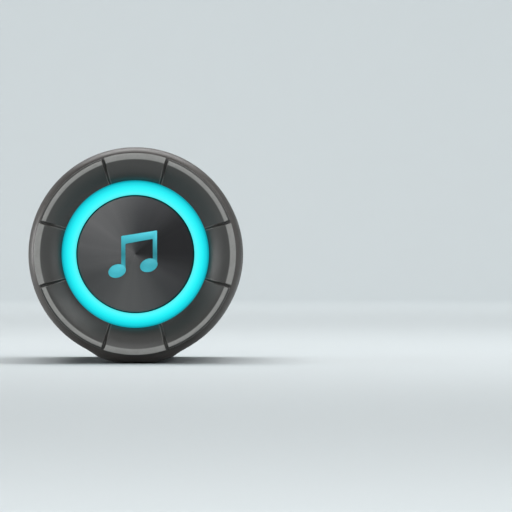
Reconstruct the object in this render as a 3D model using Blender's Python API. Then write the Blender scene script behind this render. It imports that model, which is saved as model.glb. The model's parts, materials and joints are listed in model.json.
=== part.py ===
"""A portable Bluetooth loudspeaker: a cloth-covered tube that lies on a rubber-footed base strip.

Each end has a smooth rounded band, a notched end ring, a glowing light ring and a passive bass
radiator with a metal cap.
Two full-range drivers fire along +X, the sockets and their cover face -X, and the keys are on top.
The tube's axis runs along Y at AXIS_HEIGHT. The front end, with the emblem, faces -Y.
Lengths are in metres. A depth is measured inwards from an end's rim face.
"""

import math

import bmesh
import bpy
from mathutils import Matrix, Vector

MM = 0.001

# Driving dimensions
LENGTH = 212 * MM
BODY_RADIUS = 45 * MM
AXIS_HEIGHT = 46 * MM
GAP = 0.3 * MM
SEAM = 0.002 * MM

# The skin (end bands, cloth sleeve and base strip) and the tube under it
SKIN = 1.0 * MM
BAND_DEPTH = 15 * MM
TUBE_RADIUS = BODY_RADIUS - SKIN - GAP
TUBE_BORE = TUBE_RADIUS - 2.4 * MM
SHOULDER_RADIUS = 41.2 * MM
SHOULDER_START = 9.5 * MM
SHOULDER_FRONT = 2.65 * MM
END_BORE = 39.2 * MM
FLANGE_DEPTH = 19.8 * MM
FLANGE_THICKNESS = 2.5 * MM
FLANGE_BORE = 34.5 * MM

# End ring: eight segments with notches between them
LOBE_RADIUS = 42.36 * MM
WAIST_RADIUS = 41.6 * MM
RIM_LEDGE = 0.7 * MM
RIM_INNER = 40.05 * MM
RIM_THICKNESS = 2.3 * MM
SKIRT_RADIUS = END_BORE - GAP
SKIRT_DEPTH = 11 * MM
DISH_RADIUS = 31.0 * MM
DISH_DEPTH = 6.0 * MM
NOTCH_ANGLE = math.radians(19.2)
NOTCH_HALF_WIDTH = math.radians(1.15)
NOTCH_FLOOR = 0.8
NOTCH_DEPTH = 1.1 * MM
LOBE_SLOPE = ((0.68, 0.08), (0.39, 0.3), (0.15, 0.62))  # shares of the way out and of the way down
WAIST_SLOPE = ((0.73, 0.2), (0.49, 0.49), (0.24, 0.8))

# Light ring, radiator and what holds them
LIGHT_OUTER = DISH_RADIUS - GAP
LIGHT_INNER = 24.87 * MM
LIGHT_CREST = 5.0 * MM
LIGHT_BACK = 9.5 * MM
LED_BOARD_DEPTH = 10.8 * MM
LED_BOARD_RADIUS = 34.0 * MM
LED_COUNT = 8
CAP_RADIUS = 24.45 * MM
CAP_DEPTH = 6.2 * MM
CAP_THICKNESS = 1.4 * MM
WEIGHT_RADIUS = 22.0 * MM
WEIGHT_DEPTH = 14.5 * MM
WEIGHT_THICKNESS = 2.5 * MM
FRAME_INNER = 31.0 * MM
FRAME_DEPTH = 16.0 * MM
FRAME_THICKNESS = 2.2 * MM
END_SCREWS = 3
END_SCREW_CIRCLE = 36.6 * MM
END_SCREW_TURN = math.radians(96)
SCREW_RADIUS = 1.2 * MM
SCREW_HEAD_RADIUS = 1.9 * MM

# Drivers
DRIVER_PLACE = 48 * MM
DRIVER_SEAT = 31 * MM
DRIVER_RADIUS = 25 * MM
CONE_RADIUS = 19.4 * MM
COIL_RADIUS = 7.0 * MM
MAGNET_RADIUS = 17 * MM

# Base strip and its rubber pads
BASE_RADIUS = 46.1 * MM
BASE_ARC = math.radians(19.5)
BASE_EDGE = math.radians(28)
PAD_WIDTH = 10.4 * MM
PAD_LENGTH = 62 * MM
PAD_HEIGHT = 1.0 * MM
PAD_PLACE = 48 * MM

# Control panel on top
PANEL_LENGTH = 120 * MM
PANEL_HALF_ANGLE = math.radians(16)
PANEL_THICKNESS = 1.8 * MM
KEY_NAMES = ("power", "pairing", "volume_down", "play", "volume_up", "light")
KEY_PITCH = 19 * MM
KEY_RADIUS = 6.0 * MM
KEY_TOP = 45.2 * MM
KEY_TRAVEL = 0.5 * MM
DECK_FLOOR = 38.6 * MM

# Socket module on the back
BEZEL_LENGTH = 56 * MM
BEZEL_HEIGHT = 22 * MM
POCKET_FLOOR = 34.0 * MM
COVER_LENGTH = 50 * MM
COVER_HALF_ANGLE = math.radians(10.25)
COVER_THICKNESS = 2.1 * MM
USB_PLACE = -10 * MM
AUX_PLACE = 10 * MM

# Battery and boards
CELL_RADIUS = 9.2 * MM
CELL_LENGTH = 65 * MM
CELL_X = -12 * MM
CELL_SPACING = 19.4 * MM
BOARD_X = -27.7 * MM

ROUND = 48
MEDIUM = 32
SMALL = 24
TINY = 16
FINE = 8
QUARTER = math.pi / 2
SPIN = math.radians(2.7)  # keeps the corners of round shapes that cross apart
UPRIGHT = (QUARTER, 0, SPIN)  # turns a piece's local +Y to +Z
FORWARD = (0, SPIN, -QUARTER)  # turns a piece's local +Y to +X

FINISHES = {
    "graphite_plastic": ((0.045, 0.045, 0.045), 0.38, 0.0),
    "band_rubber": ((0.05, 0.047, 0.045), 0.4, 0.0),
    "light_diffuser": ((0.02, 0.85, 0.9), 0.5, 0.0),
    "spun_metal": ((0.1, 0.1, 0.1), 0.35, 1.0),
    "emblem_paint": ((0.02, 0.42, 0.48), 0.4, 0.0),
    "speaker_cloth": ((0.03, 0.03, 0.032), 0.9, 0.0),
    "soft_rubber": ((0.02, 0.02, 0.02), 0.7, 0.0),
    "inner_plastic": ((0.05, 0.05, 0.05), 0.6, 0.0),
    "bare_steel": ((0.5, 0.5, 0.52), 0.35, 1.0),
    "copper_wire": ((0.7, 0.3, 0.12), 0.35, 1.0),
    "circuit_board": ((0.02, 0.12, 0.06), 0.5, 0.0),
    "cone_paper": ((0.03, 0.03, 0.03), 0.8, 0.0),
    "cell_wrap": ((0.05, 0.2, 0.45), 0.4, 0.0),
}


# Tools


def clear_scene():
    for obj in list(bpy.data.objects):
        bpy.data.objects.remove(obj)


def material(name):
    colour, roughness, metallic = FINISHES[name]
    made = bpy.data.materials.get(name)
    if made is None:
        made = bpy.data.materials.new(name)
        made.use_nodes = True
        shader = made.node_tree.nodes["Principled BSDF"]
        shader.inputs["Base Color"].default_value = (*colour, 1)
        shader.inputs["Roughness"].default_value = roughness
        shader.inputs["Metallic"].default_value = metallic
    return made


def empty(name, parent=None, location=(0, 0, 0), rotation=(0, 0, 0)):
    made = bpy.data.objects.new(name, None)
    bpy.context.collection.objects.link(made)
    made.parent = parent
    made.location = location
    made.rotation_euler = rotation
    return made


def piece(name, bm, finish, parent, location=(0, 0, 0), rotation=(0, 0, 0)):
    """Turns a bmesh into a named object with its material, smooth except at sharp edges."""
    bmesh.ops.recalc_face_normals(bm, faces=bm.faces)
    mesh = bpy.data.meshes.new(name)
    bm.to_mesh(mesh)
    bm.free()
    mesh.materials.append(material(finish))
    mesh.shade_smooth()
    mesh.set_sharp_from_angle(angle=math.radians(35))
    made = bpy.data.objects.new(name, mesh)
    bpy.context.collection.objects.link(made)
    made.parent = parent
    made.location = location
    made.rotation_euler = rotation
    return made


def helper(bm, parent, location=(0, 0, 0), rotation=(0, 0, 0)):
    """A shape that only cuts or joins: it is hidden, so it isn't a part."""
    made = piece("helper", bm, "inner_plastic", parent, location, rotation)
    made.hide_render = True
    made.display_type = "WIRE"
    return made


def combine(target, other, operation):
    modifier = target.modifiers.new(operation.lower(), "BOOLEAN")
    modifier.operation = operation
    modifier.object = other
    modifier.solver = "EXACT"


def keep_inside(target, other):
    combine(target, other, "INTERSECT")


def cut(target, *cutters):
    for cutter in cutters:
        combine(target, cutter, "DIFFERENCE")


def fuse(target, *others):
    for other in others:
        combine(target, other, "UNION")


def turned(outline, segments):
    """A solid turned about local Y from (radius, y) points, which close on the axis or on themselves."""
    bm = bmesh.new()
    points = [bm.verts.new((radius, y, 0)) for radius, y in outline]
    edges = [bm.edges.new(pair) for pair in zip(points, points[1:])]
    if outline[0][0] > 0:
        edges.append(bm.edges.new((points[-1], points[0])))
    bmesh.ops.spin(
        bm, geom=points + edges, axis=(0, 1, 0), cent=(0, 0, 0),
        angle=2 * math.pi, steps=segments, use_merge=True,
    )
    bmesh.ops.remove_doubles(bm, verts=bm.verts, dist=1e-7)
    return bm


def rod(radius, start, end, segments=FINE):
    """A plain round rod along local Y."""
    return turned([(0, start), (radius, start), (radius, end), (0, end)], segments)


def tube(inner, outer, start, end, segments):
    """A plain ring with a rectangular section, about local Y."""
    return turned([(inner, start), (outer, start), (outer, end), (inner, end)], segments)


def block(low, high):
    """A box between two corners."""
    bm = bmesh.new()
    low, high = Vector(low), Vector(high)
    place = Matrix.Translation((low + high) / 2) @ Matrix.Diagonal((*(high - low), 1))
    bmesh.ops.create_cube(bm, size=1, matrix=place)
    return bm


def prism(outline, start, end):
    """An outline of (x, z) points, extruded along local Y."""
    bm = bmesh.new()
    face = bm.faces.new([bm.verts.new((x, start, z)) for x, z in outline])
    moved = bmesh.ops.extrude_face_region(bm, geom=[face])["geom"]
    corners = [item for item in moved if isinstance(item, bmesh.types.BMVert)]
    bmesh.ops.translate(bm, verts=corners, vec=(0, end - start, 0))
    return bm


def lofted(stations, closed):
    """A skin over sections that all have the same number of points, in a ring or with flat ends."""
    bm = bmesh.new()
    rows = [[bm.verts.new(point) for point in station] for station in stations]
    followers = rows[1:] + rows[:1] if closed else rows[1:]
    for row, following in zip(rows, followers):
        for i in range(len(row)):
            j = (i + 1) % len(row)
            bm.faces.new((row[i], row[j], following[j], following[i]))
    if not closed:
        bm.faces.new(rows[0])
        bm.faces.new(rows[-1])
    return bm


def around(angle, radius, y):
    """A point about the axis: angle 0 is straight up and a quarter turn is +X."""
    return Vector((radius * math.sin(angle), y, radius * math.cos(angle)))


def swept(section, angles, closed=False):
    """The (radius, y) points that section(angle) gives, lofted through the angles about local Y."""
    stations = [[around(a, radius, y) for radius, y in section(a)] for a in angles]
    return lofted(stations, closed)


def steps(start, end, count):
    return [start + (end - start) * i / count for i in range(count + 1)]


def curved_plate(inner, outer, half_length, middle, half_angle, count):
    """A plate bent round the axis, between two radii."""
    section = [
        (inner, -half_length), (outer, -half_length), (outer, half_length), (inner, half_length),
    ]
    return swept(lambda angle: section, steps(middle - half_angle, middle + half_angle, count))


# Outlines


def at_depth(outline):
    """Turns (radius, depth) points of the front end into (radius, y) points."""
    return [(radius, depth - LENGTH / 2) for radius, depth in outline]


def shoulder(outset, count=5):
    """The rounded end of the body as (radius, depth), from its front edge to where it is straight."""
    points = []
    for angle in steps(QUARTER, 0, count):
        radius = SHOULDER_RADIUS + (BODY_RADIUS + outset - SHOULDER_RADIUS) * math.cos(angle)
        reach = SHOULDER_START - SHOULDER_FRONT + min(outset, 0)
        points.append((radius, SHOULDER_START - reach * math.sin(angle)))
    return points


def both_ends(outline):
    """Front-end (radius, depth) points and their mirror images at the rear, as (radius, y)."""
    front = at_depth(outline)
    return front + [(radius, -y) for radius, y in reversed(front)]


def end_ring_section(angle):
    """The end ring's closed section: a lobe, a waist or the floor of a notch, by the angle."""
    turn = (angle + math.pi / 4) % QUARTER - math.pi / 4
    aside = abs(turn) - NOTCH_ANGLE
    in_notch = abs(aside) < NOTCH_HALF_WIDTH * (NOTCH_FLOOR + 1) / 2
    lobe = aside < 0
    outer = WAIST_RADIUS - 0.5 * MM if in_notch else LOBE_RADIUS if lobe else WAIST_RADIUS
    notch = NOTCH_DEPTH if in_notch else 0
    edge = 0.3 * MM
    ledge = max(RIM_LEDGE, notch + 0.5 * MM)
    front = [
        (LOBE_RADIUS, ledge + edge), (outer, ledge), (outer, edge + notch), (outer - edge, notch),
        (RIM_INNER, notch),
    ]
    for out, down in LOBE_SLOPE if lobe else WAIST_SLOPE:
        radius = DISH_RADIUS + (RIM_INNER - DISH_RADIUS) * out
        fade = 0.3 + 0.7 * out
        front.append((radius, DISH_DEPTH * down + notch * fade))
    front.append((DISH_RADIUS, DISH_DEPTH))
    wall = 2 * MM
    back = [
        (DISH_RADIUS, DISH_DEPTH + wall),
        (DISH_RADIUS + wall, DISH_DEPTH + wall),
        (SKIRT_RADIUS - wall, RIM_THICKNESS + 1.5 * wall),
        (SKIRT_RADIUS - wall, SKIRT_DEPTH),
        (SKIRT_RADIUS, SKIRT_DEPTH),
        (SKIRT_RADIUS, RIM_THICKNESS),
        (LOBE_RADIUS, RIM_THICKNESS),
    ]
    return at_depth(front + back)


def end_ring_angles():
    """Where the end ring's section is set out: evenly in each segment, and at each notch's walls."""
    clear = NOTCH_ANGLE - NOTCH_HALF_WIDTH
    beyond = NOTCH_ANGLE + NOTCH_HALF_WIDTH
    floor = NOTCH_HALF_WIDTH * NOTCH_FLOOR
    quarter = steps(-clear, clear, 4)
    quarter += [NOTCH_ANGLE - floor, NOTCH_ANGLE + floor]
    quarter += steps(beyond, QUARTER - beyond, 4)
    quarter += [QUARTER - NOTCH_ANGLE - floor, QUARTER - NOTCH_ANGLE + floor]
    return [start * QUARTER + angle for start in range(4) for angle in quarter]


def base_outset(angle):
    """How far the skin stands out from the round body, at an angle: only along the foot of the body."""
    aside = abs(angle % (2 * math.pi) - math.pi)
    if aside >= BASE_EDGE:
        return 0
    if aside <= BASE_ARC:
        return min(BASE_RADIUS, (AXIS_HEIGHT - GAP) / math.cos(aside)) - BODY_RADIUS
    start, end = around(BASE_ARC, BASE_RADIUS, 0), around(BASE_EDGE, BODY_RADIUS, 0)
    across = (end - start).cross(Vector((0, 1, 0)))
    return abs(start.dot(across) / around(aside, 1, 0).dot(across)) - BODY_RADIUS


def base_angles():
    """Where the foot of the body is set out, about straight down."""
    flat_edge = math.acos((AXIS_HEIGHT - GAP) / BASE_RADIUS)
    half = [flat_edge, (flat_edge + BASE_ARC) / 2, BASE_ARC, (BASE_ARC + BASE_EDGE) / 2, BASE_EDGE]
    return [math.pi - angle for angle in reversed(half)] + [math.pi] + [math.pi + a for a in half]


def band_section(angle):
    """An end band's section at an angle: over the shoulder, then straight back to the cloth."""
    outset = base_outset(angle)
    back = [(BODY_RADIUS + outset, BAND_DEPTH), (BODY_RADIUS - SKIN, BAND_DEPTH)]
    return at_depth(shoulder(outset) + back + shoulder(-SKIN, 2)[::-1])


# Both ends


def build_light(end, side):
    light = [
        (LIGHT_INNER, LIGHT_BACK),
        (LIGHT_INNER, LIGHT_CREST + 1.5 * MM),
        (LIGHT_INNER + 0.8 * MM, LIGHT_CREST + 0.5 * MM),
        ((LIGHT_INNER + LIGHT_OUTER) / 2, LIGHT_CREST),
        (LIGHT_OUTER - 0.9 * MM, LIGHT_CREST + 0.5 * MM),
        (LIGHT_OUTER, LIGHT_CREST + 1.4 * MM),
        (LIGHT_OUTER, LIGHT_BACK - 1.2 * MM),
        (LIGHT_OUTER + 2.8 * MM, LIGHT_BACK - 1.2 * MM),
        (LIGHT_OUTER + 2.8 * MM, LIGHT_BACK),
    ]
    piece(f"light_ring_{side}", turned(at_depth(light), MEDIUM), "light_diffuser", end)
    front = LED_BOARD_DEPTH - LENGTH / 2
    board = piece(
        f"led_board_{side}",
        tube(LIGHT_INNER + 0.8 * MM, LED_BOARD_RADIUS, front, front + 1.2 * MM, SMALL),
        "circuit_board", end,
    )
    for i in range(LED_COUNT):
        led = block((-1 * MM, -0.7 * MM, -1 * MM), (1 * MM, 0.6 * MM, 1 * MM))
        turn = 2 * math.pi * (i + 0.5) / LED_COUNT
        middle = (LIGHT_INNER + LIGHT_OUTER) / 2
        fuse(board, helper(led, end, around(turn, middle, front), (0, turn, 0)))


def build_radiator(end, side):
    """The passive radiator: its moving cap and weight, and the rubber roll that it hangs in.

    Returns the empty that the moving pieces share.
    """
    moving = empty(f"radiator_{side}_axis", end)
    face = CAP_DEPTH - LENGTH / 2
    back = face + CAP_THICKNESS
    cap = [
        (0, face), (CAP_RADIUS - 0.5 * MM, face), (CAP_RADIUS, face + 0.5 * MM),
        (CAP_RADIUS, back), (0, back),
    ]
    piece(f"radiator_cap_{side}", turned(cap, MEDIUM), "spun_metal", moving)
    neck = 14 * MM
    weight_front = WEIGHT_DEPTH - LENGTH / 2
    weight_back = weight_front + WEIGHT_THICKNESS
    weight = [
        (0, weight_front), (neck - 3 * MM, weight_front), (neck - 3 * MM, back + GAP),
        (neck, back + GAP), (neck, weight_front), (WEIGHT_RADIUS, weight_front),
        (WEIGHT_RADIUS, weight_back), (0, weight_back),
    ]
    piece(f"radiator_weight_{side}", turned(weight, SMALL), "bare_steel", moving)
    lip, thick = WEIGHT_RADIUS + GAP, 0.8 * MM
    edge = FRAME_INNER - GAP
    middle, roll = (lip + edge) / 2, (edge - lip) / 2 - 0.6 * MM
    seat = FRAME_DEPTH - 0.5 * MM
    inside = [(middle - roll * math.cos(a), seat + roll * math.sin(a)) for a in steps(0, math.pi, 3)]
    outside = [
        (middle - (roll - thick) * math.cos(a), seat + (roll - thick) * math.sin(a))
        for a in steps(math.pi, 0, 3)
    ]
    outline = [(lip, seat), *inside, (edge, seat), (edge, seat - thick), *outside, (lip, seat - thick)]
    piece(f"radiator_surround_{side}", turned(at_depth(outline), SMALL), "soft_rubber", end)
    return moving


def build_mounting(end, side):
    """The radiator's frame, its gasket, and the screws into the tube's flange."""
    front = FRAME_DEPTH - LENGTH / 2
    back = front + FRAME_THICKNESS
    wall = LED_BOARD_DEPTH + 1.2 * MM + GAP - LENGTH / 2
    frame_outline = [
        (FRAME_INNER, front), (LED_BOARD_RADIUS - 1.8 * MM, front), (LED_BOARD_RADIUS - 1.8 * MM, wall),
        (LED_BOARD_RADIUS, wall), (LED_BOARD_RADIUS, front), (SKIRT_RADIUS, front),
        (SKIRT_RADIUS, back), (FRAME_INNER, back),
    ]
    frame = piece(f"radiator_frame_{side}", turned(frame_outline, SMALL), "inner_plastic", end)
    gasket = piece(
        f"end_gasket_{side}",
        tube(FLANGE_BORE + GAP, SKIRT_RADIUS, back + GAP, FLANGE_DEPTH - GAP - LENGTH / 2, SMALL),
        "soft_rubber", end,
    )
    holes = []
    for i in range(END_SCREWS):
        turn = END_SCREW_TURN + 2 * math.pi * i / END_SCREWS
        place = around(turn, END_SCREW_CIRCLE, 0)
        head = front - GAP
        shank_end = FLANGE_DEPTH + 1.8 * MM - LENGTH / 2
        screw = [
            (0, head - 1.4 * MM), (SCREW_HEAD_RADIUS, head - 1.4 * MM), (SCREW_HEAD_RADIUS, head),
            (SCREW_RADIUS, head), (SCREW_RADIUS, shank_end), (0, shank_end),
        ]
        piece(f"end_screw_{side}_{i + 1}", turned(screw, FINE), "bare_steel", end, place)
        hole = rod(SCREW_RADIUS + GAP, front - 1 * MM, shank_end + GAP)
        holes.append(helper(hole, end, place))
    cut(frame, *holes)
    cut(gasket, *holes)
    return holes


def build_emblem(cap_axis):
    """A plain pair of beamed notes on the front cap."""
    back = CAP_DEPTH - GAP - LENGTH / 2
    front = back - 0.5 * MM
    stem, beam = 1.7 * MM, 3.4 * MM
    left, right = -5.4 * MM, 8.4 * MM
    low, high, rise = -6.2 * MM, 7.0 * MM, 2.2 * MM
    bar = [(left, high - beam), (right, high + rise - beam), (right, high + rise), (left, high)]
    emblem = piece("emblem", prism(bar, front, back), "emblem_paint", cap_axis)
    for x, lift in ((left, 0), (right - stem, rise)):
        upright = [(x, low + lift), (x + stem, low + lift), (x + stem, high + lift - 1 * MM),
                   (x, high + lift - 1 * MM)]
        fuse(emblem, helper(prism(upright, front, back), cap_axis))
        tilt = Matrix.Rotation(math.radians(20), 2)
        centre = Vector((x + stem - 3.2 * MM, low + lift - 0.3 * MM))
        head = [
            centre + tilt @ Vector((3.5 * MM * math.cos(a), 2.6 * MM * math.sin(a)))
            for a in steps(0, 2 * math.pi, 14)[:-1]
        ]
        fuse(emblem, helper(prism(head, front, back), cap_axis))


def build_end(end, side):
    """Everything at one end. Returns the screw holes, which the tube's flange shares."""
    ring = swept(end_ring_section, end_ring_angles(), closed=True)
    piece(f"end_ring_{side}", ring, "graphite_plastic", end)
    upper = steps(math.pi + BASE_EDGE, 3 * math.pi - BASE_EDGE, ROUND - FINE)[1:-1]
    band = swept(band_section, base_angles() + upper, closed=True)
    piece(f"end_band_{side}", band, "band_rubber", end)
    build_light(end, side)
    cap_axis = build_radiator(end, side)
    if side == "front":
        build_emblem(cap_axis)
    return build_mounting(end, side)


# The tube, its cloth and its base


def build_enclosure(axis, flange_holes):
    """One moulded tube with a driver seat at each side, a key deck on top and a socket pocket."""
    outline = shoulder(-(SKIN + GAP), 2)
    wall = [
        (TUBE_BORE, FLANGE_DEPTH + FLANGE_THICKNESS),
        (FLANGE_BORE, FLANGE_DEPTH + FLANGE_THICKNESS),
        (FLANGE_BORE, FLANGE_DEPTH),
        (END_BORE, FLANGE_DEPTH),
        (END_BORE, outline[0][1]),
    ]
    enclosure = piece("enclosure_tube", turned(both_ends(wall + outline), MEDIUM), "inner_plastic", axis)
    deep = 20 * MM
    core = helper(rod((TUBE_RADIUS + TUBE_BORE) / 2, -LENGTH / 2, LENGTH / 2, MEDIUM), axis)
    for side in (-1, 1):
        place = (0, side * DRIVER_PLACE, 0)
        boss = rod(DRIVER_RADIUS + 3 * MM, DRIVER_SEAT - 2.5 * MM, TUBE_RADIUS, MEDIUM)
        boss = helper(boss, axis, place, FORWARD)
        keep_inside(boss, core)
        fuse(enclosure, boss)
    deck_low, deck_high = DECK_FLOOR - 2 * MM, TUBE_BORE
    deck_x, deck_y = 13.9 * MM, PANEL_LENGTH / 2 + 2 * MM
    fuse(enclosure, helper(block((-deck_x, -deck_y, deck_low), (deck_x, deck_y, deck_high)), axis))
    boss_y, boss_z = BEZEL_LENGTH / 2 + 2 * MM, BEZEL_HEIGHT / 2 + 2 * MM
    wall_x = TUBE_BORE - 1 * MM
    socket_boss = block((-wall_x, -boss_y, -boss_z), (2 * MM - POCKET_FLOOR, boss_y, boss_z))
    fuse(enclosure, helper(socket_boss, axis))
    seat, mouth = DRIVER_RADIUS + 0.4 * MM, DRIVER_RADIUS - 3 * MM
    opening = [
        (0, DRIVER_SEAT - deep), (mouth, DRIVER_SEAT - deep), (mouth, DRIVER_SEAT),
        (seat, DRIVER_SEAT), (seat, DRIVER_SEAT + deep), (0, DRIVER_SEAT + deep),
    ]
    for side in (-1, 1):
        place = (0, side * DRIVER_PLACE, 0)
        cut(enclosure, helper(turned(opening, MEDIUM), axis, place, FORWARD))
    pocket_x, pocket_y = 12.1 * MM, PANEL_LENGTH / 2 + GAP
    pocket = block((-pocket_x, -pocket_y, DECK_FLOOR), (pocket_x, pocket_y, DECK_FLOOR + deep))
    socket_y, socket_z = BEZEL_LENGTH / 2 + GAP, BEZEL_HEIGHT / 2 + GAP
    sockets = block((-POCKET_FLOOR - deep, -socket_y, -socket_z), (-POCKET_FLOOR, socket_y, socket_z))
    cut(enclosure, helper(pocket, axis), helper(sockets, axis), *flange_holes)


def build_cloth(axis):
    """The cloth sleeve: open along the base strip, and cut out for the panel and the sockets."""
    reach = LENGTH / 2 - BAND_DEPTH - GAP
    sleeve = tube(BODY_RADIUS - SKIN, BODY_RADIUS, -reach, reach, ROUND)
    cloth = piece("cloth_sleeve", sleeve, "speaker_cloth", axis)
    far = 2 * BODY_RADIUS
    spread = far * math.tan(BASE_EDGE + math.radians(0.4))
    wedge = prism([(0, 0), (spread, -far), (-spread, -far)], -LENGTH, LENGTH)
    panel_gap = math.radians(0.4)
    window = curved_plate(
        BODY_RADIUS - 3 * MM, BODY_RADIUS + 3 * MM, PANEL_LENGTH / 2 + GAP, 0,
        PANEL_HALF_ANGLE + panel_gap, 4,
    )
    socket_y, socket_z = BEZEL_LENGTH / 2 + GAP, BEZEL_HEIGHT / 2 + GAP
    sockets = block((-far, -socket_y, -socket_z), (-BODY_RADIUS / 2, socket_y, socket_z))
    cut(cloth, helper(wedge, axis), helper(window, axis), helper(sockets, axis))


def base_section(angle):
    """The base strip's section at an angle."""
    outer, reach = BODY_RADIUS + base_outset(angle), LENGTH / 2 - BAND_DEPTH - GAP
    return [(outer, -reach), (outer, reach), (BODY_RADIUS - SKIN, reach), (BODY_RADIUS - SKIN, -reach)]


def build_base(axis, ground):
    strip = piece("base_strip", swept(base_section, base_angles()), "band_rubber", axis)
    for side, name in ((-1, "front"), (1, "rear")):
        half_width, middle = PAD_WIDTH / 2, side * PAD_PLACE
        low, high = middle - PAD_LENGTH / 2, middle + PAD_LENGTH / 2
        pad = block((-half_width, low, 0), (half_width, high, PAD_HEIGHT))
        piece(f"foot_pad_{name}", pad, "soft_rubber", ground)
        room = block(
            (-half_width - GAP, low - GAP, -1 * MM), (half_width + GAP, high + GAP, PAD_HEIGHT + GAP)
        )
        cut(strip, helper(room, ground))


# Drivers


def build_driver(axis, side, name):
    """A full-range driver that fires along +X: basket, motor, and the cone with its coil."""
    place = (0, side * DRIVER_PLACE, 0)
    seat = DRIVER_SEAT + GAP
    flange = seat + 1.8 * MM
    motor = 14 * MM
    basket = [
        (CONE_RADIUS + 2.1 * MM, flange), (CONE_RADIUS + 2.1 * MM, seat),
        (MAGNET_RADIUS - 3.5 * MM, motor + 1.5 * MM), (MAGNET_RADIUS - 6 * MM, motor + 1.5 * MM),
        (MAGNET_RADIUS - 6 * MM, motor + GAP), (MAGNET_RADIUS - 2.5 * MM, motor + GAP),
        (DRIVER_RADIUS - 3.6 * MM, seat - 2 * MM), (DRIVER_RADIUS - 3.6 * MM, seat),
        (DRIVER_RADIUS, seat), (DRIVER_RADIUS, flange),
    ]
    piece(f"driver_basket_{name}", turned(basket, TINY), "bare_steel", axis, place, FORWARD)
    pole, slot = COIL_RADIUS - 0.7 * MM, COIL_RADIUS + 0.8 * MM
    magnet = [
        (0, 3 * MM), (MAGNET_RADIUS, 3 * MM), (MAGNET_RADIUS, motor), (slot, motor),
        (slot, 6 * MM), (pole, 6 * MM), (pole, motor), (0, motor),
    ]
    piece(f"driver_magnet_{name}", turned(magnet, TINY), "bare_steel", axis, place, FORWARD)
    moving = empty(f"driver_{name}_axis", axis, place, FORWARD)
    rim, throat, thick = seat + 1 * MM, seat - 9 * MM, 0.8 * MM
    cone = [
        (0, throat + 2.6 * MM), (4 * MM, throat + 2 * MM), (COIL_RADIUS, throat),
        (CONE_RADIUS, rim), (CONE_RADIUS, rim - thick), (COIL_RADIUS, throat - 1.6 * MM),
        (0, throat - 1.6 * MM),
    ]
    piece(f"driver_cone_{name}", turned(cone, SMALL), "cone_paper", moving)
    coil = tube(COIL_RADIUS - 0.3 * MM, COIL_RADIUS + 0.3 * MM, motor - 5 * MM, throat - 1.9 * MM, TINY)
    piece(f"voice_coil_{name}", coil, "copper_wire", moving)
    lip, edge = CONE_RADIUS + 0.35 * MM, CONE_RADIUS + 4.6 * MM
    crest, low = rim + 2.2 * MM, flange + GAP
    middle = (lip + edge) / 2
    surround = [
        (lip, low), (lip, rim + 0.8 * MM), (middle - 0.8 * MM, crest), (middle + 0.8 * MM, crest),
        (edge - 0.9 * MM, low + 0.6 * MM), (edge, low + 0.6 * MM), (edge, low),
        (middle + 0.3 * MM, crest - 0.8 * MM), (middle - 0.3 * MM, crest - 0.8 * MM),
    ]
    piece(f"driver_surround_{name}", turned(surround, SMALL), "soft_rubber", axis, place, FORWARD)


# Controls


def build_controls(axis):
    panel = piece(
        "control_panel",
        curved_plate(BODY_RADIUS - PANEL_THICKNESS, BODY_RADIUS, PANEL_LENGTH / 2, 0,
                     PANEL_HALF_ANGLE, 4),
        "soft_rubber", axis,
    )
    board_low = DECK_FLOOR + GAP
    board_high = board_low + 1.2 * MM
    half_board = (len(KEY_NAMES) / 2) * KEY_PITCH
    board = piece(
        "key_board", block((-8 * MM, -half_board, board_low), (8 * MM, half_board, board_high)),
        "circuit_board", axis,
    )
    switch_top = board_high + 1.5 * MM
    for i, name in enumerate(KEY_NAMES):
        y = (i - (len(KEY_NAMES) - 1) / 2) * KEY_PITCH
        switch = block((-2 * MM, y - 2 * MM, board_high - 0.5 * MM), (2 * MM, y + 2 * MM, switch_top))
        fuse(board, helper(switch, axis))
        hole = rod(KEY_RADIUS + 1.5 * GAP, DECK_FLOOR, KEY_TOP + 5 * MM, TINY)
        cut(panel, helper(hole, axis, (0, y, 0), UPRIGHT))
        stem_low = switch_top + KEY_TRAVEL + 0.1 * MM
        key = [
            (0, stem_low), (2 * MM, stem_low), (2 * MM, KEY_TOP - 2.2 * MM),
            (KEY_RADIUS, KEY_TOP - 2.2 * MM), (KEY_RADIUS, KEY_TOP - 0.5 * MM),
            (KEY_RADIUS - 0.6 * MM, KEY_TOP - 0.15 * MM), (0, KEY_TOP),
        ]
        piece(f"key_{name}", turned(key, TINY), "soft_rubber", axis, (0, y, 0), UPRIGHT)


# Sockets


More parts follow.
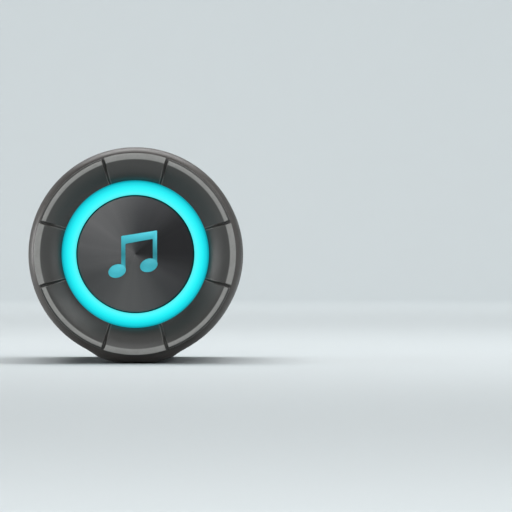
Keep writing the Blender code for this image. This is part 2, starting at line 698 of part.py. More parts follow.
def build_sockets(axis):
    """The socket module in the back: bezel, hinged cover, and the USB and audio sockets on a board."""
    back = -QUARTER  # the -X side, as an angle from straight up
    half_y, half_z = BEZEL_LENGTH / 2, BEZEL_HEIGHT / 2
    inside = POCKET_FLOOR + 4 * MM
    bezel_angle = math.asin(half_z / BODY_RADIUS)
    bezel = piece(
        "socket_bezel",
        curved_plate(inside + 1 * MM, BODY_RADIUS, half_y, back, bezel_angle, 8),
        "graphite_plastic", axis,
    )
    side_gap = math.radians(0.35)
    floor = BODY_RADIUS - COVER_THICKNESS
    room = curved_plate(
        floor - GAP, BODY_RADIUS + 5 * MM, COVER_LENGTH / 2 + GAP, back, COVER_HALF_ANGLE + side_gap, 8
    )
    hinge = around(back - COVER_HALF_ANGLE, BODY_RADIUS, 0)
    hinge_axis = empty("cover_hinge", axis, hinge)
    cover = curved_plate(floor, BODY_RADIUS, COVER_LENGTH / 2, back, COVER_HALF_ANGLE, 8)
    bmesh.ops.translate(cover, verts=cover.verts, vec=-hinge)
    piece("socket_cover", cover, "soft_rubber", hinge_axis)
    board_x = -POCKET_FLOOR - GAP
    board = block((board_x - 1.2 * MM, -half_y + 2 * MM, -9 * MM), (board_x, half_y - 2 * MM, 9 * MM))
    piece("socket_board", board, "circuit_board", axis)
    inner = board_x - 1.2 * MM - GAP
    outer = -floor + 2 * GAP
    usb_y, usb_z, shell = 4.47 * MM, 1.63 * MM, 0.4 * MM
    usb = piece("usb_socket", block((outer, USB_PLACE - usb_y, -usb_z), (inner, USB_PLACE + usb_y, usb_z)),
                "bare_steel", axis)
    hollow = block(
        (outer - 1 * MM, USB_PLACE - usb_y + shell, -usb_z + shell),
        (inner - 1.5 * MM, USB_PLACE + usb_y - shell, usb_z - shell),
    )
    tongue = block((outer + 0.8 * MM, USB_PLACE - 3.3 * MM, -0.35 * MM),
                   (inner - 1 * MM, USB_PLACE + 3.3 * MM, 0.35 * MM))
    cut(usb, helper(hollow, axis))
    fuse(usb, helper(tongue, axis))
    barrel, bore = 3.3 * MM, 1.8 * MM
    jack = [(0, inner), (barrel, inner), (barrel, outer), (bore, outer), (bore, inner - 1 * MM),
            (0, inner - 1 * MM)]
    piece("aux_socket", turned(jack, SMALL), "inner_plastic", axis, (0, AUX_PLACE, 0), FORWARD)
    usb_room = block(
        (-BODY_RADIUS - 5 * MM, USB_PLACE - usb_y - GAP, -usb_z - GAP),
        (-POCKET_FLOOR, USB_PLACE + usb_y + GAP, usb_z + GAP),
    )
    aux_room = rod(barrel + GAP, -BODY_RADIUS - 5 * MM, -POCKET_FLOOR, SMALL)
    cut(bezel, helper(room, axis), helper(usb_room, axis),
        helper(aux_room, axis, (0, AUX_PLACE, 0), FORWARD))


# Battery and boards


def build_electronics(axis):
    for side, name in ((-1, "lower"), (1, "upper")):
        cell = [
            (0, -CELL_LENGTH / 2), (CELL_RADIUS - 0.6 * MM, -CELL_LENGTH / 2),
            (CELL_RADIUS, 0.6 * MM - CELL_LENGTH / 2), (CELL_RADIUS, CELL_LENGTH / 2 - 1.2 * MM),
            (3 * MM, CELL_LENGTH / 2 - 1.2 * MM), (3 * MM, CELL_LENGTH / 2), (0, CELL_LENGTH / 2),
        ]
        place = (CELL_X, 0, side * CELL_SPACING / 2)
        piece(f"battery_cell_{name}", turned(cell, TINY), "cell_wrap", axis, place)
    tray_x = CELL_X - CELL_RADIUS - 2 * GAP
    half_y, half_z, thick = CELL_LENGTH / 2 + 0.5 * MM, 20 * MM, 1.8 * MM
    tray = piece("battery_tray", block((tray_x - thick, -half_y - thick, -half_z),
                                       (tray_x, half_y + thick, half_z)), "inner_plastic", axis)
    for side in (-1, 1):
        low, high = sorted((side * half_y, side * (half_y + thick)))
        wall = block((tray_x - 1 * MM, low, -half_z + 1 * MM), (CELL_X + 6 * MM, high, half_z - 1 * MM))
        fuse(tray, helper(wall, axis))
    half_thick = 0.8 * MM
    board_front, board_back = BOARD_X + half_thick, BOARD_X - half_thick
    board = piece("main_board", block((board_back, -70 * MM, -20 * MM), (board_front, 70 * MM, 20 * MM)),
                  "circuit_board", axis)
    parts = ((-52, 6, 10, 10, 1.6), (-34, -8, 8, 8, 2.8), (-34, 6, 8, 8, 2.8), (44, -6, 12, 12, 1.4),
             (56, 8, 6, 6, 3.0))
    for y, z, long, tall, high in parts:
        chip = block(
            (board_back - high * MM, (y - long / 2) * MM, (z - tall / 2) * MM),
            (BOARD_X, (y + long / 2) * MM, (z + tall / 2) * MM),
        )
        fuse(board, helper(chip, axis))
    module_x = board_front + GAP
    module = block((module_x, 50 * MM, -7 * MM), (module_x + 2.2 * MM, 66 * MM, 6 * MM))
    piece("radio_module", module, "bare_steel", axis)


def weld_seams():
    """Closes the hair-thin slits that joining and cutting can leave."""
    for obj in bpy.data.objects:
        if obj.modifiers:
            obj.modifiers.new("weld", "WELD").merge_threshold = SEAM


def build():
    clear_scene()
    ground = empty("ground")
    axis = empty("tube_axis", ground, (0, 0, AXIS_HEIGHT))
    front_end = empty("front_end", axis)
    rear_end = empty("rear_end", axis, rotation=(0, 0, math.pi))
    holes = build_end(front_end, "front") + build_end(rear_end, "rear")
    build_enclosure(axis, holes)
    build_cloth(axis)
    build_base(axis, ground)
    build_driver(axis, -1, "front")
    build_driver(axis, 1, "rear")
    build_controls(axis)
    build_sockets(axis)
    build_electronics(axis)
    weld_seams()


build()
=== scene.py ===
"""The finished look of the portable loudspeaker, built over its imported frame.

The fine meshes ride on the frame's bodies, and most stand in for a plain CAD node. Lengths are in
metres. End pieces are set out as (radius, depth), with the depth measured inwards from the end
ring's face, about the tube's axis, which runs along Y.
"""

import json
import math

import bmesh
import bpy
from mathutils import Matrix, Vector


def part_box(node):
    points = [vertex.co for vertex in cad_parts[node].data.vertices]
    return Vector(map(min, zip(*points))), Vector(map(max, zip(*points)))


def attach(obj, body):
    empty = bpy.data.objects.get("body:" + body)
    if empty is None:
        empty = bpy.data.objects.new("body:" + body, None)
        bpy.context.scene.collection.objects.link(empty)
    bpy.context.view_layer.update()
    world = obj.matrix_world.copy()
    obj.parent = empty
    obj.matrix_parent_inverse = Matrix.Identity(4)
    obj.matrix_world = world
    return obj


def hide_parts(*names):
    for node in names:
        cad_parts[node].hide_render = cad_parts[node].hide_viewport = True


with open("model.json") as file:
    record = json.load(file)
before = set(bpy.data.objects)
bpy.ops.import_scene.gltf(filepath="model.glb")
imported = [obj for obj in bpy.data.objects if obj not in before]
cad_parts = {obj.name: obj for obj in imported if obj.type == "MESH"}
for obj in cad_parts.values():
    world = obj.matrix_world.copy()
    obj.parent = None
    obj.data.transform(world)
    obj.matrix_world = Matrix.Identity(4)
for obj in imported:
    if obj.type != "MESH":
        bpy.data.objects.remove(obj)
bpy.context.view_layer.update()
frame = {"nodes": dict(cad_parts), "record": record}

MM = 0.001
QUARTER = math.pi / 2
TURN = 2 * math.pi

# Sizes read from the frame
RING_LOW, RING_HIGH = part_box("end_ring_front")
BAND_LOW, BAND_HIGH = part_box("end_band_front")
CLOTH_LOW, CLOTH_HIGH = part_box("cloth_sleeve")
CAP_LOW, CAP_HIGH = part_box("radiator_cap_front")
BEZEL_LOW, BEZEL_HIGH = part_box("socket_bezel")
COVER_LOW, COVER_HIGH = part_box("socket_cover")
PANEL_LOW, PANEL_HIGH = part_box("control_panel")
AXIS_HEIGHT = (RING_LOW[2] + RING_HIGH[2]) / 2
FACE = -RING_LOW[1]
LOBE_RADIUS = (RING_HIGH[0] - RING_LOW[0]) / 2
BODY_RADIUS = (CLOTH_HIGH[0] - CLOTH_LOW[0]) / 2
BAND_FRONT = BAND_LOW[1] + FACE
BAND_BACK = BAND_HIGH[1] + FACE
CLOTH_END = CLOTH_LOW[1] + FACE
CAP_RADIUS = (CAP_HIGH[0] - CAP_LOW[0]) / 2
CAP_DEPTH = CAP_LOW[1] + FACE
CAP_BACK = CAP_HIGH[1] + FACE
PANEL_LENGTH = PANEL_HIGH[1] - PANEL_LOW[1]
PANEL_HALF_ANGLE = math.asin(PANEL_HIGH[0] / BODY_RADIUS)
BEZEL_LENGTH = BEZEL_HIGH[1] - BEZEL_LOW[1]
BEZEL_HALF_ANGLE = math.asin((BEZEL_HIGH[2] - AXIS_HEIGHT) / BODY_RADIUS)
COVER_LENGTH = COVER_HIGH[1] - COVER_LOW[1]
COVER_HALF_ANGLE = math.asin((COVER_HIGH[2] - AXIS_HEIGHT) / BODY_RADIUS)
AXIS = Vector((0, 0, AXIS_HEIGHT))
PLACES = {
    "front": Matrix.Translation(AXIS),
    "rear": Matrix.Translation(AXIS) @ Matrix.Rotation(math.pi, 4, "Z"),
}

# End ring
WAIST_RADIUS = LOBE_RADIUS - 0.76 * MM
WAIST_BLEND = 1.0 * MM
RIM_LEDGE = 0.7 * MM
RIM_INNER = 40.05 * MM
RIM_THICKNESS = 2.3 * MM
DISH_RADIUS = 31.0 * MM
DISH_DEPTH = 6.0 * MM
# Bezier handles of the slope from the rim to the light ring, on a raised segment and between two
LOBE_HANDLES = ((36.5 * MM, 0.5 * MM), (32.2 * MM, 2.9 * MM))
WAIST_HANDLES = ((37.2 * MM, 0.9 * MM), (34.0 * MM, 5.0 * MM))
# A notch's angle from the nearest upright or level line, its half width and its depth
NOTCH_RIM = (math.radians(18.9), 0.82 * MM, 1.9 * MM)  # at the rim
NOTCH_DISH = (math.radians(19.7), 0.6 * MM, 0.2 * MM)  # beside the light ring
NOTCH_ANGLE = math.radians(19.2)
NOTCH_FLOOR = 0.3  # the share of its half width that is flat
NOTCH_SET_IN = 0.5 * MM  # how far it cuts into the ring's edge
LIGHT_INNER = 24.87 * MM
LIGHT_OUTER = 30.7 * MM

# End bands, cloth and base
SKIN = 1.0 * MM
SHOULDER_RADIUS = 41.2 * MM
SHOULDER_START = 9.5 * MM
BASE_RADIUS = 46.1 * MM
BASE_ARC = math.radians(19.5)
BASE_EDGE = math.radians(28)
BASE_CLEARANCE = 0.3 * MM
CLOTH_GAP = math.radians(0.4)
THREAD = 1.2 * MM

KEYS = ("power", "pairing", "volume_down", "play", "volume_up", "light")
KEY_RADIUS = 6.0 * MM
KEY_PROUD = 0.2 * MM
KEY_GAP = 0.35 * MM

# How finely curves and bends are made
SAME_PLACE = 1e-7
BEND_STEP = 0.8 * MM


# Shapes


def steps(start, end, count):
    return [start + (end - start) * i / count for i in range(count + 1)]


def smooth(t):
    """Eases from 0 to 1."""
    t = min(max(t, 0), 1)
    return t * t * (3 - 2 * t)


def around(angle, radius, y):
    """A point about the axis: angle 0 is straight up and a quarter turn is +X."""
    return Vector((radius * math.sin(angle), y, radius * math.cos(angle)))


def rounded(corners, count=5):
    """The outline through (x, y, rounding) corners."""
    outline = []
    for i, (x, y, rounding) in enumerate(corners):
        corner = Vector((x, y))
        before = Vector(corners[i - 1][:2]) - corner
        after = Vector(corners[(i + 1) % len(corners)][:2]) - corner
        reach = min(rounding, 0.49 * before.length, 0.49 * after.length)
        if reach == 0:
            outline.append(corner)
            continue
        start = corner + before.normalized() * reach
        end = corner + after.normalized() * reach
        for t in steps(0, 1, count):
            outline.append(start * (1 - t) ** 2 + corner * 2 * t * (1 - t) + end * t**2)
    return outline


def box_outline(half_width, half_height, rounding, count=6):
    """A rectangle about the origin with rounded corners."""
    return rounded(
        [
            (-half_width, -half_height, rounding), (half_width, -half_height, rounding),
            (half_width, half_height, rounding), (-half_width, half_height, rounding),
        ],
        count,
    )


def face_outwards(bm):
    """Turns one closed skin's faces outwards."""
    bmesh.ops.recalc_face_normals(bm, faces=bm.faces)
    if bm.calc_volume(signed=True) < 0:
        bmesh.ops.reverse_faces(bm, faces=bm.faces)


def lofted(stations, closed):
    """A skin over sections of points, in a ring or with its end sections filled."""
    bm = bmesh.new()
    rows = [[bm.verts.new(point) for point in station] for station in stations]
    followers = rows[1:] + rows[:1] if closed else rows[1:]
    for row, following in zip(rows, followers):
        for i in range(len(row)):
            j = (i + 1) % len(row)
            bm.faces.new((row[i], row[j], following[j], following[i]))
    if not closed:
        bm.faces.new(rows[0])
        bm.faces.new(rows[-1])
    face_outwards(bm)
    return bm


def turned(outline, segments=160):
    """A solid turned about the axis from (radius, depth) points."""
    angles = steps(0, TURN, segments)[:-1]
    bm = lofted([[around(a, radius, depth - FACE) for radius, depth in outline] for a in angles], True)
    bmesh.ops.remove_doubles(bm, verts=bm.verts, dist=SAME_PLACE)
    return bm


def prism(outline, low, high, rounding=0.0):
    """An (x, y) outline raised from low to high along Z, with its rims rounded."""
    bm = lofted([[(x, y, z) for x, y in outline] for z in (low, high)], False)
    if rounding:
        rims = [edge for edge in bm.edges if edge.verts[0].co.z == edge.verts[1].co.z]
        bmesh.ops.bevel(bm, geom=rims, offset=rounding, segments=3, profile=0.5, affect="EDGES")
    return bm


def merged(*parts):
    """One bmesh that holds all of them."""
    whole = bmesh.new()
    for part in parts:
        mesh = bpy.data.meshes.new("part")
        part.to_mesh(mesh)
        part.free()
        whole.from_mesh(mesh)
        bpy.data.meshes.remove(mesh)
    return whole


def scratch(bm):
    """A throw-away object, for a Boolean."""
    mesh = bpy.data.meshes.new("scratch")
    bm.to_mesh(mesh)
    bm.free()
    made = bpy.data.objects.new("scratch", mesh)
    bpy.context.scene.collection.objects.link(made)
    return made


def minus(bm, *cutters):
    """bm with the cutters taken away."""
    target = scratch(bm)
    others = [scratch(cutter) for cutter in cutters]
    for other in others:
        target.modifiers.new("cut", "BOOLEAN").object = other
    graph = bpy.context.evaluated_depsgraph_get()
    result = bmesh.new()
    result.from_object(target, graph)
    for obj in (target, *others):
        mesh = obj.data
        bpy.data.objects.remove(obj)
        bpy.data.meshes.remove(mesh)
    return result


def sliced(bm, half_width, pitch):
    """Cuts long faces into strips along Y, so that they can bend."""
    for x in steps(-half_width, half_width, round(2 * half_width / pitch)):
        everything = bm.verts[:] + bm.edges[:] + bm.faces[:]
        bmesh.ops.bisect_plane(
            bm, geom=everything, dist=SAME_PLACE, plane_co=(x, 0, 0), plane_no=(1, 0, 0)
        )
    return bm


def bent(bm, middle):
    """Wraps flat work onto the body: x goes round from the middle angle, z stands out from the skin."""
    for vert in bm.verts:
        x, y, z = vert.co
        vert.co = around(middle + x / BODY_RADIUS, BODY_RADIUS + z, y)
    return bm


def on_front(bm):
    """Stands flat (x, y) work up on the front end: y becomes up and z becomes depth."""
    for vert in bm.verts:
        x, y, z = vert.co
        vert.co = Vector((x, z - FACE, y))
    bmesh.ops.reverse_faces(bm, faces=bm.faces)
    return bm


def piece(name, bm, look, body, nodes=(), place=PLACES["front"], sharp=35):
    """Makes the object, in place in the row's frame, rides it on its body and hides the CAD nodes it stands
    for.
    """
    bmesh.ops.transform(bm, matrix=place, verts=bm.verts)
    mesh = bpy.data.meshes.new(name)
    bm.to_mesh(mesh)
    bm.free()
    mesh.materials.append(look)
    mesh.shade_smooth()
    mesh.set_sharp_from_angle(angle=math.radians(sharp))
    made = bpy.data.objects.new(name, mesh)
    bpy.context.scene.collection.objects.link(made)
    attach(made, body)
    if nodes:
        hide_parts(*nodes)
    return made


# Materials


def shade(value):
    """The linear value of an 8-bit display value."""
    value /= 255
    return value / 12.92 if value <= 0.04045 else ((value + 0.055) / 1.055) ** 2.4


def rgb(red, green, blue):
    return (shade(red), shade(green), shade(blue), 1)


class Look:
    """A material in the making. Its methods add nodes and return the socket with their result."""

    def __init__(self, name, slot, roughness, metallic=0.0, specular=0.5):
        self.material = bpy.data.materials.new(name)
        self.material.use_nodes = True
        self.material["slot"] = slot
        self.tree = self.material.node_tree
        self.shader = self.tree.nodes["Principled BSDF"]
        self.set("Roughness", roughness)
        self.set("Metallic", metallic)
        self.set("Specular IOR Level", specular)
        coordinates = self.tree.nodes.new("ShaderNodeTexCoord").outputs["Object"]
        self.place = self.vector("SUBTRACT", coordinates, tuple(AXIS))

    def set(self, name, value):
        """Puts a constant, or links a socket, into one of the shader's inputs."""
        self.fill(self.shader.inputs[name], value)

    def fill(self, socket, value):
        if isinstance(value, bpy.types.NodeSocket):
            self.tree.links.new(value, socket)
        else:
            socket.default_value = value

    def vector(self, operation, first, second):
        node = self.tree.nodes.new("ShaderNodeVectorMath")
        node.operation = operation
        self.fill(node.inputs[0], first)
        self.fill(node.inputs[1], second)
        return node.outputs["Value" if operation == "LENGTH" else "Vector"]

    def math(self, operation, first, second=0.0, third=0.0):
        node = self.tree.nodes.new("ShaderNodeMath")
        node.operation = operation
        for socket, value in zip(node.inputs, (first, second, third)):
            self.fill(socket, value)
        return node.outputs[0]

    def axes(self):
        """The x, y and z distances from the middle of the axis."""
        node = self.tree.nodes.new("ShaderNodeSeparateXYZ")
        self.fill(node.inputs[0], self.place)
        return node.outputs[0], node.outputs[1], node.outputs[2]

    def radius(self):
        return self.vector("LENGTH", self.vector("MULTIPLY", self.place, (1, 0, 1)), (0, 0, 0))

    def angle(self):
        """The angle about the axis, from straight up towards +X."""
        x, _, z = self.axes()
        return self.math("ARCTAN2", x, z)

    def noise(self, scale, detail=3.0, roughness=0.5, at=None):
        node = self.tree.nodes.new("ShaderNodeTexNoise")
        self.fill(node.inputs["Vector"], self.place if at is None else at)
        self.fill(node.inputs["Scale"], scale)
        self.fill(node.inputs["Detail"], detail)
        self.fill(node.inputs["Roughness"], roughness)
        return node.outputs[0]

    def spread(self, value, low, high, from_low=0.0, from_high=1.0):
        """Maps a value from one range to another."""
        node = self.tree.nodes.new("ShaderNodeMapRange")
        for socket, number in zip(node.inputs, (value, from_low, from_high, low, high)):
            self.fill(socket, number)
        return node.outputs[0]

    def ramp(self, value, *stops):
        """Colours a value from (position, colour) stops."""
        node = self.tree.nodes.new("ShaderNodeValToRGB")
        elements = node.color_ramp.elements
        while len(elements) < len(stops):
            elements.new(0.5)
        for element, (position, colour) in zip(elements, stops):
            element.position = position
            element.color = colour
        self.fill(node.inputs[0], value)
        return node.outputs[0]

    def mix(self, factor, first, second):
        node = self.tree.nodes.new("ShaderNodeMix")
        node.data_type = "RGBA"
        self.fill(node.inputs[0], factor)
        self.fill(node.inputs[6], first)
        self.fill(node.inputs[7], second)
        return node.outputs[2]

    def choose(self, switch, off, on):
        """One number where the switch is 0, the other where it is 1."""
        return self.math("MULTIPLY_ADD", self.math("SUBTRACT", on, off), switch, off)

    def bump(self, height, distance):
        """Adds fine relief, on top of any that is there already."""
        node = self.tree.nodes.new("ShaderNodeBump")
        self.fill(node.inputs["Height"], height)
        self.fill(node.inputs["Distance"], distance)
        normal = self.shader.inputs["Normal"]
        if normal.is_linked:
            self.fill(node.inputs["Normal"], normal.links[0].from_socket)
        self.fill(normal, node.outputs[0])


def moulded(name, slot, dark, light, roughness, grain=9000.0, relief=0.02 * MM, specular=0.5):
    """Moulded plastic or rubber: a spark-eroded grain, faint mottling and rubbed, shinier patches."""
    look = Look(name, slot, roughness, specular=specular)
    cloudy = look.noise(60, 4)
    look.set("Base Color", look.ramp(cloudy, (0.3, dark), (0.7, light)))
    rubbed = look.noise(180, 5, 0.65)
    look.set("Roughness", look.spread(rubbed, roughness - 0.08, roughness + 0.08, 0.3, 0.7))
    look.bump(look.noise(grain, 2), relief)
    return look.material


def rim_plastic():
    """The end rings' satin graphite: a fine grain, a paler flat rim, painted shade that darkens the funnel
    the deeper it lies, and painted highlights along the notches.
    """
    look = Look("ring_plastic", "graphite_plastic", 0.4, specular=0.55)
    _, y, _ = look.axes()
    depth = look.math("SUBTRACT", FACE, look.math("ABSOLUTE", y))
    level = look.spread(depth, 1.0, 0.0, 0.02 * MM, 0.3 * MM)
    outside = look.spread(look.radius(), 0.0, 1.0, RIM_INNER - 0.4 * MM, RIM_INNER)
    flat = look.math("MULTIPLY", level, outside)
    wear = look.noise(420, 5, 0.7)
    # painted shade: the funnel's colour darkens the deeper it lies, mixed with a random mottle
    deep = look.spread(depth, 0.0, 1.0, 1.0 * MM, DISH_DEPTH)
    mottle_and_depth_shade = look.math("MULTIPLY_ADD", look.noise(70, 4), 0.3, look.math("MULTIPLY", deep, 0.7))
    body = look.ramp(mottle_and_depth_shade, (0.1, rgb(58, 57, 55)), (0.9, rgb(37, 36, 35)))
    rim = look.ramp(wear, (0.35, rgb(132, 131, 128)), (0.65, rgb(142, 141, 138)))
    # painted highlight: a paler tone along both edges of each notch
    body = look.mix(look.math("MULTIPLY", notch_edge_highlight(look), 0.55), body, rgb(104, 102, 99))
    look.set("Base Color", look.mix(flat, body, rim))
    look.set("Roughness", look.spread(wear, 0.34, 0.48, 0.3, 0.7))
    look.bump(look.noise(8000, 2), 0.012 * MM)
    return look.material


def notch_edge_highlight(look):
    """1 along the two edges of each notch, where a highlight is painted, and 0 elsewhere."""
    radius = look.radius()
    turned_on = look.math("ADD", look.angle(), QUARTER / 2)
    aside = look.math("SUBTRACT", look.math("FLOORED_MODULO", turned_on, QUARTER), QUARTER / 2)
    line = look.spread(radius, NOTCH_DISH[0], NOTCH_RIM[0], DISH_RADIUS, RIM_INNER)
    aside = look.math("SUBTRACT", look.math("ABSOLUTE", aside), line)
    away = look.math("MULTIPLY", look.math("ABSOLUTE", aside), radius)
    half_width = look.spread(radius, NOTCH_DISH[1], NOTCH_RIM[1], DISH_RADIUS, RIM_INNER)
    edge = look.math("MULTIPLY", half_width, 0.85)
    off = look.math("ABSOLUTE", look.math("SUBTRACT", away, edge))
    return look.spread(off, 1.0, 0.0, 0.05 * MM, 0.3 * MM)


def band_rubber():
    """The end bands and foot strip: smooth soft-touch graphite with a broad sheen."""
    look = Look("band_rubber", "band_rubber", 0.45)
    cloudy = look.noise(55, 4)
    look.set("Base Color", look.ramp(cloudy, (0.3, rgb(57, 53, 51)), (0.7, rgb(65, 61, 58))))
    rubbed = look.noise(260, 5, 0.65)
    look.set("Roughness", look.spread(rubbed, 0.4, 0.5, 0.3, 0.7))
    look.bump(look.noise(7000, 2), 0.008 * MM)
    return look.material


def light_diffuser():
    """The glowing ring: palest on its inner half and deeper teal at its outer edge."""
    look = Look("light_diffuser", "light_diffuser", 0.5, specular=0.2)
    look.set("Base Color", rgb(8, 60, 66))
    across = look.spread(look.radius(), 0, 1, LIGHT_INNER, LIGHT_OUTER)
    glow = look.ramp(
        across,
        (0.0, rgb(70, 222, 224)), (0.07, rgb(86, 240, 241)), (0.2, rgb(72, 249, 252)),
        (0.34, rgb(52, 250, 253)), (0.62, rgb(16, 238, 244)), (0.8, rgb(4, 214, 227)),
        (0.92, rgb(8, 198, 210)), (1.0, rgb(14, 160, 172)),
    )
    look.set("Emission Color", glow)
    look.set("Emission Strength", 0.97)
    look.bump(look.noise(2500, 2), 0.01 * MM)
    return look.material


def spun_metal():
    """Dark anodised metal with fine spun rings and an anisotropic shine; fans of light and a darker
    upper-right side are painted into its colour by angle.
    """
    look = Look("spun_metal", "spun_metal", 0.34, metallic=1.0)
    radius, angle = look.radius(), look.angle()
    rings = look.noise(5200, 3, 0.7, at=look.vector("MULTIPLY", (1, 0, 0), radius))
    streaks = look.noise(2.6, 2, 0.5, at=look.vector("MULTIPLY", (1, 0, 0), angle))
    # painted reflection and shade: bright fans and a darker upper-right side are set by the angle about the
    # axis
    painted_fans = look.math("COSINE", look.math("MULTIPLY_ADD", angle, 2.0, math.radians(14)))
    painted_side_light_and_shade = look.math("SINE", look.math("ADD", angle, math.radians(32)))
    sheen = look.math("MULTIPLY_ADD", painted_side_light_and_shade, -0.35, look.math("MULTIPLY_ADD", painted_fans, 0.2, 0.5))
    sheen = look.math("ADD", sheen, look.spread(streaks, -0.05, 0.05, 0.3, 0.7))
    colour = look.ramp(sheen, (0.0, rgb(38, 38, 39)), (0.5, rgb(76, 76, 77)), (1.0, rgb(114, 113, 112)))
    look.set("Base Color", look.mix(look.spread(rings, 0, 0.25, 0.3, 0.7), colour, rgb(30, 30, 31)))
    look.set("Roughness", look.spread(rings, 0.27, 0.4, 0.3, 0.7))
    look.set("Anisotropic", 0.75)
    tangent = look.tree.nodes.new("ShaderNodeTangent")
    tangent.direction_type = "RADIAL"
    tangent.axis = "Y"
    look.set("Tangent", tangent.outputs[0])
    look.bump(rings, 0.006 * MM)
    return look.material


def emblem_paint():
    """Teal lacquer over the spun metal, a little deeper across the middle."""
    look = Look("emblem_paint", "emblem_paint", 0.36, metallic=0.35)
    _, _, height = look.axes()
    middle = look.spread(look.math("ABSOLUTE", height), 0, 1, 0, 7 * MM)
    look.set("Base Color", look.ramp(middle, (0.0, rgb(38, 140, 152)), (1.0, rgb(66, 190, 205))))
    look.bump(look.noise(900, 3), 0.01 * MM)
    return look.material


def woven_cloth():
    """Plain-woven speaker cloth: warp and weft pass over each other, in flecked dark grey yarn, with
    painted shade in the valleys between them.
    """
    look = Look("woven_cloth", "speaker_cloth", 0.85, specular=0.2)
    _, along, _ = look.axes()
    across = look.math("MULTIPLY", look.angle(), BODY_RADIUS / THREAD)
    along = look.math("MULTIPLY", along, 1 / THREAD)
    column, row = look.math("FLOOR", across), look.math("FLOOR", along)
    warp_over = look.math("FLOORED_MODULO", look.math("ADD", column, row), 2.0)
    bows = []
    for value in (across, along):
        aside = look.math("SUBTRACT", look.math("FRACT", value), 0.5)
        bows.append(look.math("MULTIPLY", aside, aside))
    warp = look.math("MULTIPLY_ADD", bows[1], -1.5, look.math("MULTIPLY_ADD", bows[0], -3.4, 1.0))
    weft = look.math("MULTIPLY_ADD", bows[0], -1.5, look.math("MULTIPLY_ADD", bows[1], -3.4, 1.0))
    height = look.choose(warp_over, weft, warp)
    flecks = []
    for first, second in ((column, along), (row, across)):
        place = look.tree.nodes.new("ShaderNodeCombineXYZ")
        look.fill(place.inputs[0], look.math("MULTIPLY", first, 3.7))
        look.fill(place.inputs[1], look.math("MULTIPLY", second, 0.22))
        flecks.append(look.noise(1.0, 2, 0.6, at=place.outputs[0]))
    yarn = look.ramp(
        look.choose(warp_over, flecks[1], flecks[0]),
        (0.3, rgb(46, 45, 44)), (0.52, rgb(62, 61, 59)), (0.72, rgb(84, 82, 80)),
    )
    # painted shade: the yarn darkens towards black in the weave's valleys
    valley_shade = look.spread(height, 0.8, 0.0, 0.1, 0.75)
    look.set("Base Color", look.mix(valley_shade, yarn, rgb(20, 20, 20)))
    look.set("Sheen Weight", 0.3)
    look.set("Sheen Roughness", 0.4)
    look.set("Sheen Tint", rgb(200, 196, 190))
    look.bump(height, 0.22 * MM)
    look.bump(look.noise(5200, 3, 0.6), 0.05 * MM)
    return look.material


def steel(name, slot, colour, roughness):
    """Plated steel, faintly brushed along the tube."""
    look = Look(name, slot, roughness, metallic=1.0)
    drawn = look.noise(700, 4, 0.6, at=look.vector("MULTIPLY", look.place, (1, 0.06, 1)))
    look.set("Base Color", look.mix(look.spread(drawn, 0, 0.4, 0.3, 0.7), colour, rgb(88, 88, 92)))
    look.set("Roughness", look.spread(drawn, roughness - 0.08, roughness + 0.1, 0.3, 0.7))
    look.bump(drawn, 0.01 * MM)
    return look.material


def circuit_board():
    """Green solder mask over a faint pattern of copper areas, with a slight gloss."""
    look = Look("circuit_board", "circuit_board", 0.35)
    copper = look.tree.nodes.new("ShaderNodeTexVoronoi")
    copper.distance = "MANHATTAN"
    look.fill(copper.inputs["Vector"], look.place)
    look.fill(copper.inputs["Scale"], 320)
    areas = look.spread(copper.outputs["Distance"], 0, 1, 0.3, 0.36)
    look.set("Base Color", look.mix(areas, rgb(18, 74, 46), rgb(28, 98, 60)))
    look.bump(areas, 0.03 * MM)
    return look.material


def cone_paper():
    """Pressed fibre: mottled black with a felted relief."""
    look = Look("cone_paper", "cone_paper", 0.85)
    fibres = look.noise(1600, 6, 0.7)
    look.set("Base Color", look.ramp(fibres, (0.3, rgb(26, 26, 27)), (0.7, rgb(52, 51, 50))))
    look.bump(fibres, 0.08 * MM)
    return look.material


def make_looks():
    plain_steel = steel("plated_steel", "bare_steel", rgb(186, 187, 190), 0.32)
    return {
        "ring": rim_plastic(),
        "light": light_diffuser(),
        "spun": spun_metal(),
        "emblem": emblem_paint(),
        "cloth": woven_cloth(),
        "band": band_rubber(),
        "pad": moulded("pad_rubber", "soft_rubber", rgb(24, 24, 24), rgb(32, 32, 32), 0.7, 5000.0),
        "panel": moulded("panel_rubber", "soft_rubber", rgb(34, 34, 35), rgb(42, 42, 43), 0.6),
        "key": moulded("key_rubber", "soft_rubber", rgb(46, 46, 47), rgb(56, 56, 57), 0.5),
        "mark": moulded("mark_ink", "soft_rubber", rgb(196, 200, 200), rgb(212, 215, 215), 0.5),
        "bezel": moulded("bezel_plastic", "graphite_plastic", rgb(50, 50, 50), rgb(60, 60, 59), 0.42),
        "inner": moulded("inner_plastic", "inner_plastic", rgb(24, 24, 24), rgb(32, 32, 32), 0.55),
        "steel": plain_steel,
        "gold": steel("gold_contacts", "bare_steel", rgb(214, 170, 90), 0.25),
        "copper": steel("copper_wire", "copper_wire", rgb(196, 118, 70), 0.35),
        "board": circuit_board(),
        "paper": cone_paper(),
        "wrap": moulded("cell_wrap", "cell_wrap", rgb(30, 78, 150), rgb(38, 90, 168), 0.35, 3000.0),
    }


